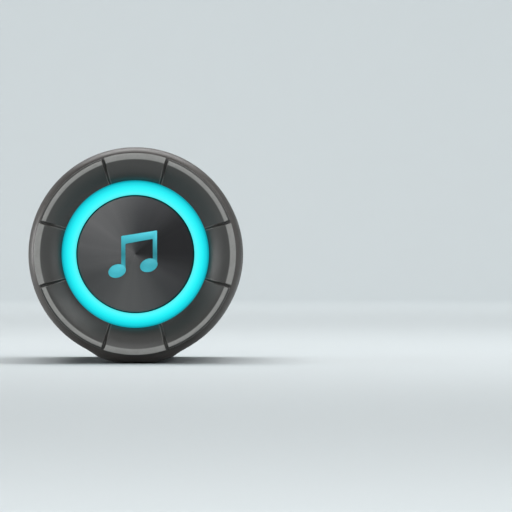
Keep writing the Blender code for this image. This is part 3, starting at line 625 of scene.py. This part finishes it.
def dress_frame(looks):
    """Gives every CAD node that stays its finished material, by its slot in the record."""
    by_slot = {
        "graphite_plastic": "bezel", "band_rubber": "band", "light_diffuser": "light", "spun_metal": "spun",
        "emblem_paint": "emblem", "speaker_cloth": "cloth", "soft_rubber": "pad",
        "inner_plastic": "inner", "bare_steel": "steel", "copper_wire": "copper",
        "circuit_board": "board", "cone_paper": "paper", "cell_wrap": "wrap",
    }
    for entry in frame["record"]["subparts"]:
        node = frame["nodes"][entry["node"]]
        for slot in node.material_slots:
            slot.material = looks[by_slot[entry["material_slot"]]]


# The ends


def from_quarter(angle):
    """How far an angle is from the nearest of up, down, left and right."""
    return abs((angle + QUARTER / 2) % QUARTER - QUARTER / 2)


def notch_shape(radius):
    """A notch's angle, half width and depth, at a radius."""
    out = smooth((radius - DISH_RADIUS) / (RIM_INNER - DISH_RADIUS)) ** 1.6
    return [at_dish + (at_rim - at_dish) * out for at_dish, at_rim in zip(NOTCH_DISH, NOTCH_RIM)]


def ring_front(outer, handles):
    """The front of the end ring as (radius, depth), from its outer wall to its inner lip."""
    wall = [(LOBE_RADIUS, RIM_LEDGE + 0.4 * MM), (LOBE_RADIUS - 0.08 * MM, RIM_LEDGE + 0.1 * MM),
            (outer + 0.02 * MM, RIM_LEDGE), (outer, RIM_LEDGE - 0.05 * MM)]
    wall += rounded([(outer, RIM_LEDGE - 0.1 * MM, 0), (outer, 0, 0.3 * MM), (RIM_INNER, 0, 0)])[:-1]
    start, end = Vector((RIM_INNER, 0)), Vector((DISH_RADIUS, DISH_DEPTH))
    slope = [
        start * (1 - t) ** 3 + Vector(handles[0]) * 3 * t * (1 - t) ** 2
        + Vector(handles[1]) * 3 * t**2 * (1 - t) + end * t**3
        for t in steps(0, 1, 24)
    ]
    return wall + slope


def ring_section(angle):
    """The end ring's whole section at an angle."""
    lobe_front = ring_front(LOBE_RADIUS, LOBE_HANDLES)
    waist_front = ring_front(WAIST_RADIUS, WAIST_HANDLES)
    section = []
    for lobe, dip in zip(lobe_front, waist_front):
        notch_angle, half_width, notch_depth = notch_shape(lobe[0])
        aside = (from_quarter(angle) - notch_angle) * lobe[0]
        waist = smooth(aside / WAIST_BLEND + 0.5)
        radius, depth = Vector(lobe) * (1 - waist) + Vector(dip) * waist
        notch = 1 - smooth((abs(aside) / half_width - NOTCH_FLOOR) / (1 - NOTCH_FLOOR))
        deeper = notch * notch_depth
        if radius > RIM_INNER:
            deeper = min(deeper, RIM_THICKNESS - 0.1 * MM - depth)
        inward = notch * NOTCH_SET_IN * smooth((radius - RIM_INNER) / (1.5 * MM))
        section.append((radius - inward, depth + deeper))
    lip, skirt = DISH_DEPTH + 2 * MM, 11 * MM
    skirt_inner, skirt_outer = RIM_INNER - 3.2 * MM, RIM_INNER - 1.2 * MM
    section += [
        (DISH_RADIUS, lip), (DISH_RADIUS + 2 * MM, lip), (skirt_inner, RIM_THICKNESS + 3 * MM),
        (skirt_inner, skirt), (skirt_outer, skirt), (skirt_outer, RIM_THICKNESS),
        (LOBE_RADIUS, RIM_THICKNESS),
    ]
    return [around(angle, radius, depth - FACE) for radius, depth in section]


def ring_angles():
    """Even steps over the segments, and fine ones across each notch."""
    reach = math.radians(1.9)
    angles = []
    for quarter in steps(0, TURN, 4)[:-1]:
        for low, high, count in (
            (-NOTCH_ANGLE + reach, NOTCH_ANGLE - reach, 18),
            (NOTCH_ANGLE - reach, NOTCH_ANGLE + reach, 26),
            (NOTCH_ANGLE + reach, QUARTER - NOTCH_ANGLE - reach, 26),
            (QUARTER - NOTCH_ANGLE - reach, QUARTER - NOTCH_ANGLE + reach, 26),
        ):
            angles += [quarter + angle for angle in steps(low, high, count)[:-1]]
    return angles


def make_end(side, looks):
    """The end ring, the light ring and the radiator's cap of one end."""
    place = PLACES[side]
    ring = lofted([ring_section(angle) for angle in ring_angles()], True)
    piece(f"end_ring_fine_{side}", ring, looks["ring"], "speaker_body", [f"end_ring_{side}"], place, 50)
    back, flange, flange_front = 9.5 * MM, LIGHT_OUTER + 2.8 * MM, 8.3 * MM
    crown = (27.4 * MM, 4.75 * MM, 2.0 * MM)
    light = rounded(
        [
            (LIGHT_INNER, back, 0), (LIGHT_INNER, 5.15 * MM, 0.45 * MM), crown,
            (LIGHT_OUTER, 5.4 * MM, 1.0 * MM), (LIGHT_OUTER, flange_front, 0),
            (flange, flange_front, 0), (flange, back, 0),
        ],
        7,
    )
    piece(f"light_ring_fine_{side}", turned(light), looks["light"], "speaker_body",
          [f"light_ring_{side}"], place)
    chamfer = 0.22 * MM
    cap = rounded(
        [
            (0, CAP_DEPTH, 0), (CAP_RADIUS - chamfer, CAP_DEPTH, 0.08 * MM),
            (CAP_RADIUS, CAP_DEPTH + chamfer, 0.12 * MM), (CAP_RADIUS, CAP_BACK, 0.1 * MM),
            (0, CAP_BACK, 0),
        ],
        3,
    )
    piece(f"radiator_cap_fine_{side}", turned(cap), looks["spun"], f"radiator_{side}",
          [f"radiator_cap_{side}"], place, 20)


def make_emblem(looks):
    """Two beamed notes, with softened rims, on the front cap."""
    back, front = CAP_DEPTH - 0.02 * MM, CAP_DEPTH - 0.75 * MM
    stem, beam, soft = 1.8 * MM, 3.6 * MM, 0.45 * MM
    left, right = -5.9 * MM, 9.2 * MM
    low, high, rise = -6.8 * MM, 7.6 * MM, 2.4 * MM
    slope = rise / (right - left)
    outline = rounded(
        [
            (left, low, 0), (left + stem, low, 0),
            (left + stem, high - beam + slope * stem, soft), (right - stem, high + rise - beam, soft),
            (right - stem, low + rise, 0), (right, low + rise, 0), (right, high + rise, soft),
            (left, high, soft),
        ],
        4,
    )
    parts = [prism(outline, front, back, 0.12 * MM)]
    half_width, half_height, tilt = 3.8 * MM, 2.8 * MM, Matrix.Rotation(math.radians(20), 2)
    for x, lift in ((left, 0), (right - stem, rise)):
        centre = Vector((x + stem - 3.5 * MM, low + lift - 0.3 * MM))
        head = [
            centre + tilt @ Vector((half_width * math.cos(a), half_height * math.sin(a)))
            for a in steps(0, TURN, 40)[:-1]
        ]
        parts.append(prism(head, front - 0.01 * MM, back, 0.12 * MM))
    piece("emblem_fine", on_front(merged(*parts)), looks["emblem"], "radiator_front", ["emblem"])


def make_rear_mark(looks):
    """A printed row of level bars, where the rear cap carries its data."""
    back, front = CAP_DEPTH + 0.01 * MM, CAP_DEPTH - 0.04 * MM
    pitch, half_width = 1.9 * MM, 0.42 * MM
    heights = (1.2, 2.4, 4.0, 2.9, 4.6, 3.3, 1.9, 1.0)
    bars = []
    for i, height in enumerate(heights):
        x = (i - (len(heights) - 1) / 2) * pitch
        bar = prism(box_outline(half_width, height * MM, half_width), front, back)
        bmesh.ops.translate(bar, verts=bar.verts, vec=(x, 0, 0))
        bars.append(bar)
    piece("rear_mark", on_front(merged(*bars)), looks["mark"], "radiator_rear", place=PLACES["rear"])


# The bands, the sleeve and the base


def foot_outset(angle):
    """How far the skin stands out from the round body, at an angle: only along the foot."""
    aside = abs(angle % TURN - math.pi)
    if aside >= BASE_EDGE:
        return 0
    if aside <= BASE_ARC:
        return min(BASE_RADIUS, (AXIS_HEIGHT - BASE_CLEARANCE) / math.cos(aside)) - BODY_RADIUS
    ramp = (aside - BASE_ARC) / (BASE_EDGE - BASE_ARC)
    hollow = 0.25 * MM * math.sin(math.pi * ramp)
    return (BASE_RADIUS - BODY_RADIUS) * (1 - ramp) - hollow


def shoulder(outset, count=14):
    """The rounded end of the body as (radius, depth), from its front edge to where it is straight."""
    reach = SHOULDER_START - BAND_FRONT + min(outset, 0)
    points = []
    for angle in steps(QUARTER, 0, count):
        radius = SHOULDER_RADIUS + (BODY_RADIUS + outset - SHOULDER_RADIUS) * math.cos(angle)
        points.append((radius, SHOULDER_START - reach * math.sin(angle)))
    return points


def band_section(angle):
    """An end band's section: over the shoulder, then straight back to a soft edge at the cloth."""
    outer = BODY_RADIUS + foot_outset(angle)
    soft = 0.35 * MM
    edge = [
        (outer, BAND_BACK - soft), (outer - 0.3 * soft, BAND_BACK - 0.3 * soft),
        (outer - soft, BAND_BACK), (BODY_RADIUS - SKIN, BAND_BACK),
    ]
    outline = shoulder(foot_outset(angle)) + edge + shoulder(-SKIN)[::-1]
    return [around(angle, radius, depth - FACE) for radius, depth in outline]


def foot_angles(count):
    """Even steps over the foot."""
    return steps(math.pi - BASE_EDGE, math.pi + BASE_EDGE, count)


def make_bands(looks):
    """The two end bands, with finer steps along the foot."""
    angles = foot_angles(56) + steps(math.pi + BASE_EDGE, 3 * math.pi - BASE_EDGE, 180)[1:-1]
    for side, place in PLACES.items():
        band = lofted([band_section(angle) for angle in angles], True)
        piece(f"end_band_fine_{side}", band, looks["band"], "speaker_body", [f"end_band_{side}"], place)


def skin_section(angle, outer):
    """A straight strip of skin between the end bands, with soft outer edges."""
    end, soft = FACE - CLOTH_END, 0.4 * MM
    outline = [
        (BODY_RADIUS - SKIN, -end), (outer - soft, -end), (outer - 0.3 * soft, 0.3 * soft - end),
        (outer, soft - end),
    ]
    outline += [(radius, -y) for radius, y in reversed(outline)]
    return [around(angle, radius, y) for radius, y in outline]


def make_cloth(looks):
    """The stretched cloth sleeve, with rounded windows for the control panel and the sockets."""
    edge = BASE_EDGE + CLOTH_GAP
    angles = steps(edge - math.pi, math.pi - edge, 220)
    sleeve = lofted([skin_section(angle, BODY_RADIUS) for angle in angles], False)
    gap = 0.25 * MM
    panel = window(PANEL_HALF_ANGLE, PANEL_LENGTH, gap, 4 * MM, 0)
    sockets = window(BEZEL_HALF_ANGLE, BEZEL_LENGTH, gap, 3.5 * MM, -QUARTER)
    cloth = piece("cloth_sleeve_fine", minus(sleeve, panel, sockets), looks["cloth"], "speaker_body",
                  ["cloth_sleeve"])


def window(half_angle, length, gap, rounding, middle):
    """A cutter through the sleeve, a little larger than what stands in it."""
    half_width, through = BODY_RADIUS * half_angle + gap, 4 * MM
    outline = box_outline(half_width, length / 2 + gap, rounding, 8)
    return bent(sliced(prism(outline, -through, through), half_width, 1.5 * MM), middle)


def make_base(looks):
    """The strip under the body, with two grooved foot pads let into it."""
    groove_pitch, pad_gap = 3.1 * MM, 0.25 * MM
    sections = [skin_section(angle, BODY_RADIUS + foot_outset(angle)) for angle in foot_angles(64)]
    strip = lofted(sections, False)
    rooms = []
    for side in ("front", "rear"):
        low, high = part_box(f"foot_pad_{side}")
        half_width, half_length = (high[0] - low[0]) / 2, (high[1] - low[1]) / 2
        middle = (low[1] + high[1]) / 2
        outline = box_outline(half_width, half_length, 2.2 * MM)
        pad = prism(outline, 0, high[2], 0.25 * MM)
        grooves = []
        for i in range(-9, 10):
            groove = prism(box_outline(half_width - 1.4 * MM, 0.45 * MM, 0.4 * MM), -1 * MM, 0.35 * MM)
            bmesh.ops.translate(groove, verts=groove.verts, vec=(0, i * groove_pitch, 0))
            grooves.append(groove)
        pad = minus(pad, merged(*grooves))
        slide = Matrix.Translation((0, middle, 0))
        piece(f"foot_pad_fine_{side}", pad, looks["pad"], "speaker_body", [f"foot_pad_{side}"], slide)
        room = box_outline(half_width + pad_gap, half_length + pad_gap, 2.4 * MM)
        room = prism(room, -1 * MM, high[2] + 0.3 * MM)
        bmesh.ops.translate(room, verts=room.verts, vec=(0, middle, -AXIS_HEIGHT))
        rooms.append(room)
    piece("base_strip_fine", minus(strip, *rooms), looks["band"], "speaker_body", ["base_strip"])


# The controls


def stroke(points, width):
    """The outline of a line of the given width with round ends, through (x, y) points."""
    points = [Vector(point) for point in points]
    left, right = [], []
    for i, point in enumerate(points):
        ahead = (points[min(i + 1, len(points) - 1)] - points[max(i - 1, 0)]).normalized()
        aside = Vector((-ahead.y, ahead.x)) * width / 2
        left.append(point + aside)
        right.append(point - aside)
    ends = []
    for point, start in ((points[-1], left[-1]), (points[0], right[0])):
        spoke = start - point
        ends.append([point + Matrix.Rotation(-a, 2) @ spoke for a in steps(0, math.pi, 6)[1:-1]])
    return left + ends[0] + right[::-1] + ends[1]


def arc(radius, start, end, centre=(0, 0)):
    """Points on a circle, with angles in degrees from the x axis."""
    return [
        (centre[0] + radius * math.cos(math.radians(a)), centre[1] + radius * math.sin(math.radians(a)))
        for a in steps(start, end, 24)
    ]


def icon(name):
    """The outlines of a key's plain symbol."""
    line, size, ray_start = 0.5 * MM, 2.2 * MM, 1.5 * MM
    bar = stroke([(-size, 0), (size, 0)], line)
    upright = stroke([(0, -size), (0, size)], line)
    dot = arc(0.55 * MM, 0, 345)
    rays = [
        stroke([(reach * math.cos(a), reach * math.sin(a)) for reach in (ray_start, size)], line)
        for a in steps(0, TURN, 8)[:-1]
    ]
    waves = [stroke(arc(reach, -50, 50, (-1.6 * MM, 0)), line) for reach in (1.7 * MM, 2.9 * MM, 4.1 * MM)]
    play = rounded([(-1.5 * MM, -1.9 * MM, line), (2.1 * MM, 0, line), (-1.5 * MM, 1.9 * MM, line)])
    return {
        "power": [stroke(arc(size, 120, 420), line), stroke([(0, 0.6 * MM), (0, 2.7 * MM)], line)],
        "pairing": [[(x - 1.6 * MM, y) for x, y in dot], *waves],
        "volume_down": [bar],
        "play": [play],
        "volume_up": [bar, upright],
        "light": [arc(0.95 * MM, 0, 345), *rays],
    }[name]


def make_controls(looks):
    """The control panel, with a raised collar round the hole for each key, and the keys."""
    half_width, half_length = BODY_RADIUS * PANEL_HALF_ANGLE, PANEL_LENGTH / 2
    plate = prism(box_outline(half_width, half_length, 4 * MM, 8), -1.8 * MM, 0, 0.3 * MM)
    rings = []
    holes = []
    for name in KEYS:
        low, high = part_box(f"key_{name}")
        y = (low[1] + high[1]) / 2
        hole = prism(arc(KEY_RADIUS + KEY_GAP, 0, 352), -3 * MM, 1 * MM)
        bmesh.ops.translate(hole, verts=hole.verts, vec=(0, y, 0))
        holes.append(hole)
        rings.append(collar(y))
        make_key(name, y, looks)
    plate = sliced(minus(plate, *holes), half_width, BEND_STEP)
    panel = bent(merged(plate, *rings), 0)
    piece("control_panel_fine", panel, looks["panel"], "speaker_body", ["control_panel"])


def lathe_up(outline, y, segments=48):
    """A solid turned about an upright axis at y, from (radius, height) points, in flat work."""
    angles = steps(0, TURN, segments)[:-1]
    bm = lofted(
        [[Vector((r * math.cos(a), y + r * math.sin(a), h)) for r, h in outline] for a in angles], True
    )
    bmesh.ops.remove_doubles(bm, verts=bm.verts, dist=SAME_PLACE)
    return bm


def collar(y):
    """The low rounded lip round a key."""
    near, far = KEY_RADIUS + KEY_GAP, KEY_RADIUS + KEY_GAP + 1.1 * MM
    crest, root = 0.14 * MM, -0.6 * MM
    lip = rounded(
        [
            (near, root, 0), (near, crest, 0.12 * MM), (near + 0.7 * MM, crest, 0.3 * MM),
            (far, -0.05 * MM, 0), (far, root, 0),
        ]
    )
    return lathe_up(lip, y)


def make_key(name, y, looks):
    """A round key with a shallow finger dish and a raised symbol."""
    crest, back, stem_radius, stem_end = KEY_PROUD, -2.0 * MM, 2 * MM, -2.7 * MM
    top = rounded(
        [
            (0, crest - 0.18 * MM, 0), (KEY_RADIUS - 1.6 * MM, crest - 0.14 * MM, 1 * MM),
            (KEY_RADIUS - 0.7 * MM, crest, 0.4 * MM), (KEY_RADIUS, crest - 0.4 * MM, 0.3 * MM),
            (KEY_RADIUS, back, 0), (stem_radius, back, 0), (stem_radius, stem_end, 0), (0, stem_end, 0),
        ]
    )
    body = f"key_{name}"
    piece(f"key_{name}_fine", bent(lathe_up(top, y), 0), looks["key"], body, [f"key_{name}"])
    floor = crest - 0.3 * MM
    marks = [prism([(-v, u) for u, v in outline], floor, crest - 0.08 * MM) for outline in icon(name)]
    whole = merged(*marks)
    bmesh.ops.translate(whole, verts=whole.verts, vec=(0, y, 0))
    piece(f"key_{name}_symbol", bent(whole, 0), looks["mark"], body)


# The sockets


def make_sockets(looks):
    """The bezel with its recess, the two sockets in it, and the hinged cover."""
    half_width, half_length = BODY_RADIUS * BEZEL_HALF_ANGLE, BEZEL_LENGTH / 2
    cover_width, cover_length = BODY_RADIUS * COVER_HALF_ANGLE, COVER_LENGTH / 2
    deep, cover_gap = 2.4 * MM, 0.3 * MM
    plate = prism(box_outline(half_width, half_length, 3.2 * MM, 8), -5 * MM, 0, 0.35 * MM)
    recess = box_outline(cover_width + cover_gap, cover_length + cover_gap, 2.6 * MM, 8)
    recess = prism(recess, -deep, 2 * MM)
    usb_low, usb_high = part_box("usb_socket")
    aux_low, aux_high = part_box("aux_socket")
    usb_y, aux_y = (usb_low[1] + usb_high[1]) / 2, (aux_low[1] + aux_high[1]) / 2
    usb_half = (usb_high[2] - usb_low[2]) / 2, (usb_high[1] - usb_low[1]) / 2
    aux_radius = (aux_high[1] - aux_low[1]) / 2
    gap, behind = 0.2 * MM, -8 * MM
    usb_hole = prism(box_outline(usb_half[0] + gap, usb_half[1] + gap, usb_half[0]), behind, 1 * MM)
    bmesh.ops.translate(usb_hole, verts=usb_hole.verts, vec=(0, usb_y, 0))
    aux_hole = prism(arc(aux_radius + gap, 0, 352), behind, 1 * MM)
    bmesh.ops.translate(aux_hole, verts=aux_hole.verts, vec=(0, aux_y, 0))
    plate = sliced(minus(plate, recess, usb_hole, aux_hole), half_width, BEND_STEP)
    piece("socket_bezel_fine", bent(plate, -QUARTER), looks["bezel"], "speaker_body", ["socket_bezel"])
    make_usb(usb_low, usb_high, looks)
    make_aux(aux_low, aux_high, aux_radius, looks)
    make_cover(cover_width, cover_length, looks)


def facing_back(bm, x, y):
    """Turns flat work to face -X, and moves it to a socket's mouth."""
    for vert in bm.verts:
        u, v, w = vert.co
        vert.co = Vector((x - w, y + v, u))
    return bm


def make_usb(low, high, looks):
    """A flat-oval steel shell with a tongue and its contacts."""
    y, mouth, length = (low[1] + high[1]) / 2, low[0], high[0] - low[0]
    half_width, half_length, wall = (high[2] - low[2]) / 2, (high[1] - low[1]) / 2, 0.4 * MM
    shell = minus(
        prism(box_outline(half_width, half_length, half_width, 10), -length, 0, 0.08 * MM),
        prism(box_outline(half_width - wall, half_length - wall, half_width - wall, 10), 1.2 * MM - length,
              1 * MM),
    )
    piece("usb_socket_fine", facing_back(shell, mouth, y), looks["steel"], "speaker_body", ["usb_socket"])
    tongue = prism(box_outline(0.35 * MM, 3.3 * MM, 0.1 * MM), 1.0 * MM - length, -0.9 * MM)
    piece("usb_tongue", facing_back(tongue, mouth, y), looks["inner"], "speaker_body")
    contacts = []
    count, pitch = 8, 0.7 * MM
    for side in (-1, 1):
        for i in range(count):
            contact = prism(box_outline(0.03 * MM, 0.14 * MM, 0), 1.4 * MM - length, -1.3 * MM)
            place = (side * 0.36 * MM, (i - (count - 1) / 2) * pitch, 0)
            bmesh.ops.translate(contact, verts=contact.verts, vec=place)
            contacts.append(contact)
    piece("usb_contacts", facing_back(merged(*contacts), mouth, y), looks["gold"], "speaker_body")


def make_aux(low, high, radius, looks):
    """A round socket with a plastic barrel and a steel throat."""
    y, mouth, length = (low[1] + high[1]) / 2, low[0], high[0] - low[0]
    bore, lining = 1.8 * MM, 0.33 * MM
    seat, floor = bore + lining + 0.02 * MM, 1 * MM - length
    barrel = rounded(
        [
            (seat, floor, 0), (seat, 0, 0.15 * MM), (radius, 0, 0.2 * MM), (radius, -length, 0),
            (0, -length, 0), (0, floor, 0),
        ]
    )
    piece("aux_socket_fine", facing_back(lathe_up(barrel, 0), mouth, y), looks["inner"], "speaker_body",
          ["aux_socket"])
    front, back = -0.3 * MM, 1.2 * MM - length
    throat = rounded(
        [
            (bore, back, 0), (bore, front, 0.1 * MM), (bore + lining, front, 0),
            (bore + lining, back, 0),
        ]
    )
    piece("aux_throat", facing_back(lathe_up(throat, 0), mouth, y), looks["gold"], "speaker_body")


def make_cover(half_width, half_length, looks):
    """The rubber cover: rounded corners, grip ridges along its free edge, and a ribbed inner face."""
    thick, wall = 2.1 * MM, 2 * MM
    plate = prism(box_outline(half_width, half_length, 2.4 * MM, 8), -thick, 0, 0.3 * MM)
    pull = prism(box_outline(1.1 * MM, 5 * MM, 1.1 * MM), -0.9 * MM, 1 * MM)
    bmesh.ops.translate(pull, verts=pull.verts, vec=(half_width, 0, 0))
    hollow = prism(box_outline(half_width - wall, half_length - wall, 1.6 * MM), -3 * MM, -1.5 * MM)
    plate = sliced(minus(plate, pull, hollow), half_width, BEND_STEP)
    ridges = []
    for i in range(4):
        ridge = prism(box_outline(0.22 * MM, 4.2 * MM, 0.2 * MM), -0.1 * MM, 0.12 * MM, 0.05 * MM)
        bmesh.ops.translate(ridge, verts=ridge.verts, vec=(half_width - (2.2 + 0.9 * i) * MM, 0, 0))
        ridges.append(ridge)
    for y in (-0.5 * half_length, 0, 0.5 * half_length):
        rib = prism(box_outline(half_width - 2.2 * MM, 0.5 * MM, 0.2 * MM), -thick, -1.4 * MM)
        bmesh.ops.translate(rib, verts=rib.verts, vec=(0, y, 0))
        ridges.append(sliced(rib, half_width, BEND_STEP))
    piece("socket_cover_fine", bent(merged(plate, *ridges), -QUARTER), looks["panel"], "socket_cover",
          ["socket_cover"])


# The studio


def make_camera():
    """A long lens, level with the axis and square to the front end."""
    distance, frame_width = 3.0, 214.7 * MM
    right, below = 50.75 * MM, 0.8 * MM
    data = bpy.data.cameras.new("camera")
    data.lens = data.sensor_width * distance / frame_width
    data.clip_end = 100
    camera = bpy.data.objects.new("camera", data)
    bpy.context.scene.collection.objects.link(camera)
    camera.location = (right, -FACE - distance, AXIS_HEIGHT - below)
    camera.rotation_euler = (QUARTER, 0, 0)
    bpy.context.scene.camera = camera


def make_backdrop():
    """A pale round floor that curves up into a wall all round, wide enough for a camera anywhere."""
    floor, sweep, top, hub = 4.2, 0.9, 4.5, 0.001
    profile = [(hub, 0)]
    profile += [(floor + sweep * math.sin(a), sweep * (1 - math.cos(a))) for a in steps(0, QUARTER, 24)]
    profile += [(floor + sweep, top)]
    bm = bmesh.new()
    rows = [[bm.verts.new(around(a, r, z).xzy) for r, z in profile] for a in steps(0, TURN, 96)[:-1]]
    for row, following in zip(rows, rows[1:] + rows[:1]):
        for i in range(len(profile) - 1):
            bm.faces.new((row[i], following[i], following[i + 1], row[i + 1]))
    bm.faces.new([row[0] for row in rows])
    mesh = bpy.data.meshes.new("backdrop")
    bm.to_mesh(mesh)
    bm.free()
    mesh.shade_smooth()
    paper = bpy.data.materials.new("backdrop_paper")
    paper.use_nodes = True
    shader = paper.node_tree.nodes["Principled BSDF"]
    shader.inputs["Base Color"].default_value = rgb(194, 200, 202)
    shader.inputs["Roughness"].default_value = 0.9
    shader.inputs["Specular IOR Level"].default_value = 0.1
    mesh.materials.append(paper)
    backdrop = bpy.data.objects.new("backdrop", mesh)
    bpy.context.scene.collection.objects.link(backdrop)
    return backdrop


def add_light(name, place, size, power, aim=AXIS):
    """A soft rectangular light, aimed at a point and out of sight itself."""
    data = bpy.data.lights.new(name, "AREA")
    data.shape = "RECTANGLE"
    data.size, data.size_y = size
    data.energy = power
    light = bpy.data.objects.new(name, data)
    light.location = place
    light.rotation_euler = (Vector(aim) - Vector(place)).to_track_quat("-Z", "Y").to_euler()
    bpy.context.scene.collection.objects.link(light)
    light.visible_camera = False
    return light


def make_lights(backdrop):
    """Soft boxes at the front end, two straight over the floor, and four that light the walls.

    The low ones would burn out the floor beside them, so they leave out the backdrop.
    """
    end = Vector((0, -FACE, AXIS_HEIGHT))
    nudge = 0.001  # an aim a hair off straight down settles which way a light's long side lies
    add_light("front", (0.2, -2.3, 0.8), (1.4, 0.9), 13.8, end)
    add_light("front_floor", (0.3, -1.05, 1.6), (3.0, 0.7), 6.5, (0.3, -1.05 - nudge, 0))
    add_light("right", (0.8, -0.3, 0.8), (0.5, 0.5), 2.9, end)
    add_light("top_edge", (0, 0.45, 1.5), (1.5, 1.1), 18, end)
    add_light("floor", (0, 1.7, 2.4), (3.0, 1.4), 40, (0, 1.7 + nudge, 0))
    walls = (("back", 0, 1, 65), ("front", 0, -1, 32), ("left", -1, 0, 45), ("right", 1, 0, 45))
    near, far, height, foot = 3.4, 4.9, 2.6, 0.1
    for name, x, y, power in walls:
        place, aim = (near * x, near * y, height), (far * x, far * y, foot)
        add_light(f"{name}_wall", place, (3.0, 1.4), power, aim)
    low_lights = [
        add_light("left", (-1.0, -0.45, 0.16), (0.7, 0.3), 3.2, end),
        add_light("left_edge", (-0.95, -0.02, 0.12), (0.3, 0.24), 4.5, end),
        add_light("right_low", (1.0, -0.45, 0.14), (0.6, 0.25), 1.2, end),
    ]
    unlit = bpy.data.collections.new("unlit_by_low_lights")
    unlit.objects.link(backdrop)
    unlit.collection_objects[0].light_linking.link_state = "EXCLUDE"
    for light in low_lights:
        light.light_linking.receiver_collection = unlit
    world = bpy.data.worlds.new("studio")
    world.use_nodes = True
    background = world.node_tree.nodes["Background"]
    background.inputs["Color"].default_value = rgb(240, 240, 238)
    background.inputs["Strength"].default_value = 0.04
    bpy.context.scene.world = world
    bpy.context.scene.view_settings.view_transform = "Standard"


def make_model():
    """Dresses the frame and builds every fine piece."""
    looks = make_looks()
    dress_frame(looks)
    for side in PLACES:
        make_end(side, looks)
    make_emblem(looks)
    make_rear_mark(looks)
    make_bands(looks)
    make_cloth(looks)
    make_base(looks)
    make_controls(looks)
    make_sockets(looks)


make_camera()
make_model()
make_lights(make_backdrop())
bpy.context.view_layer.update()
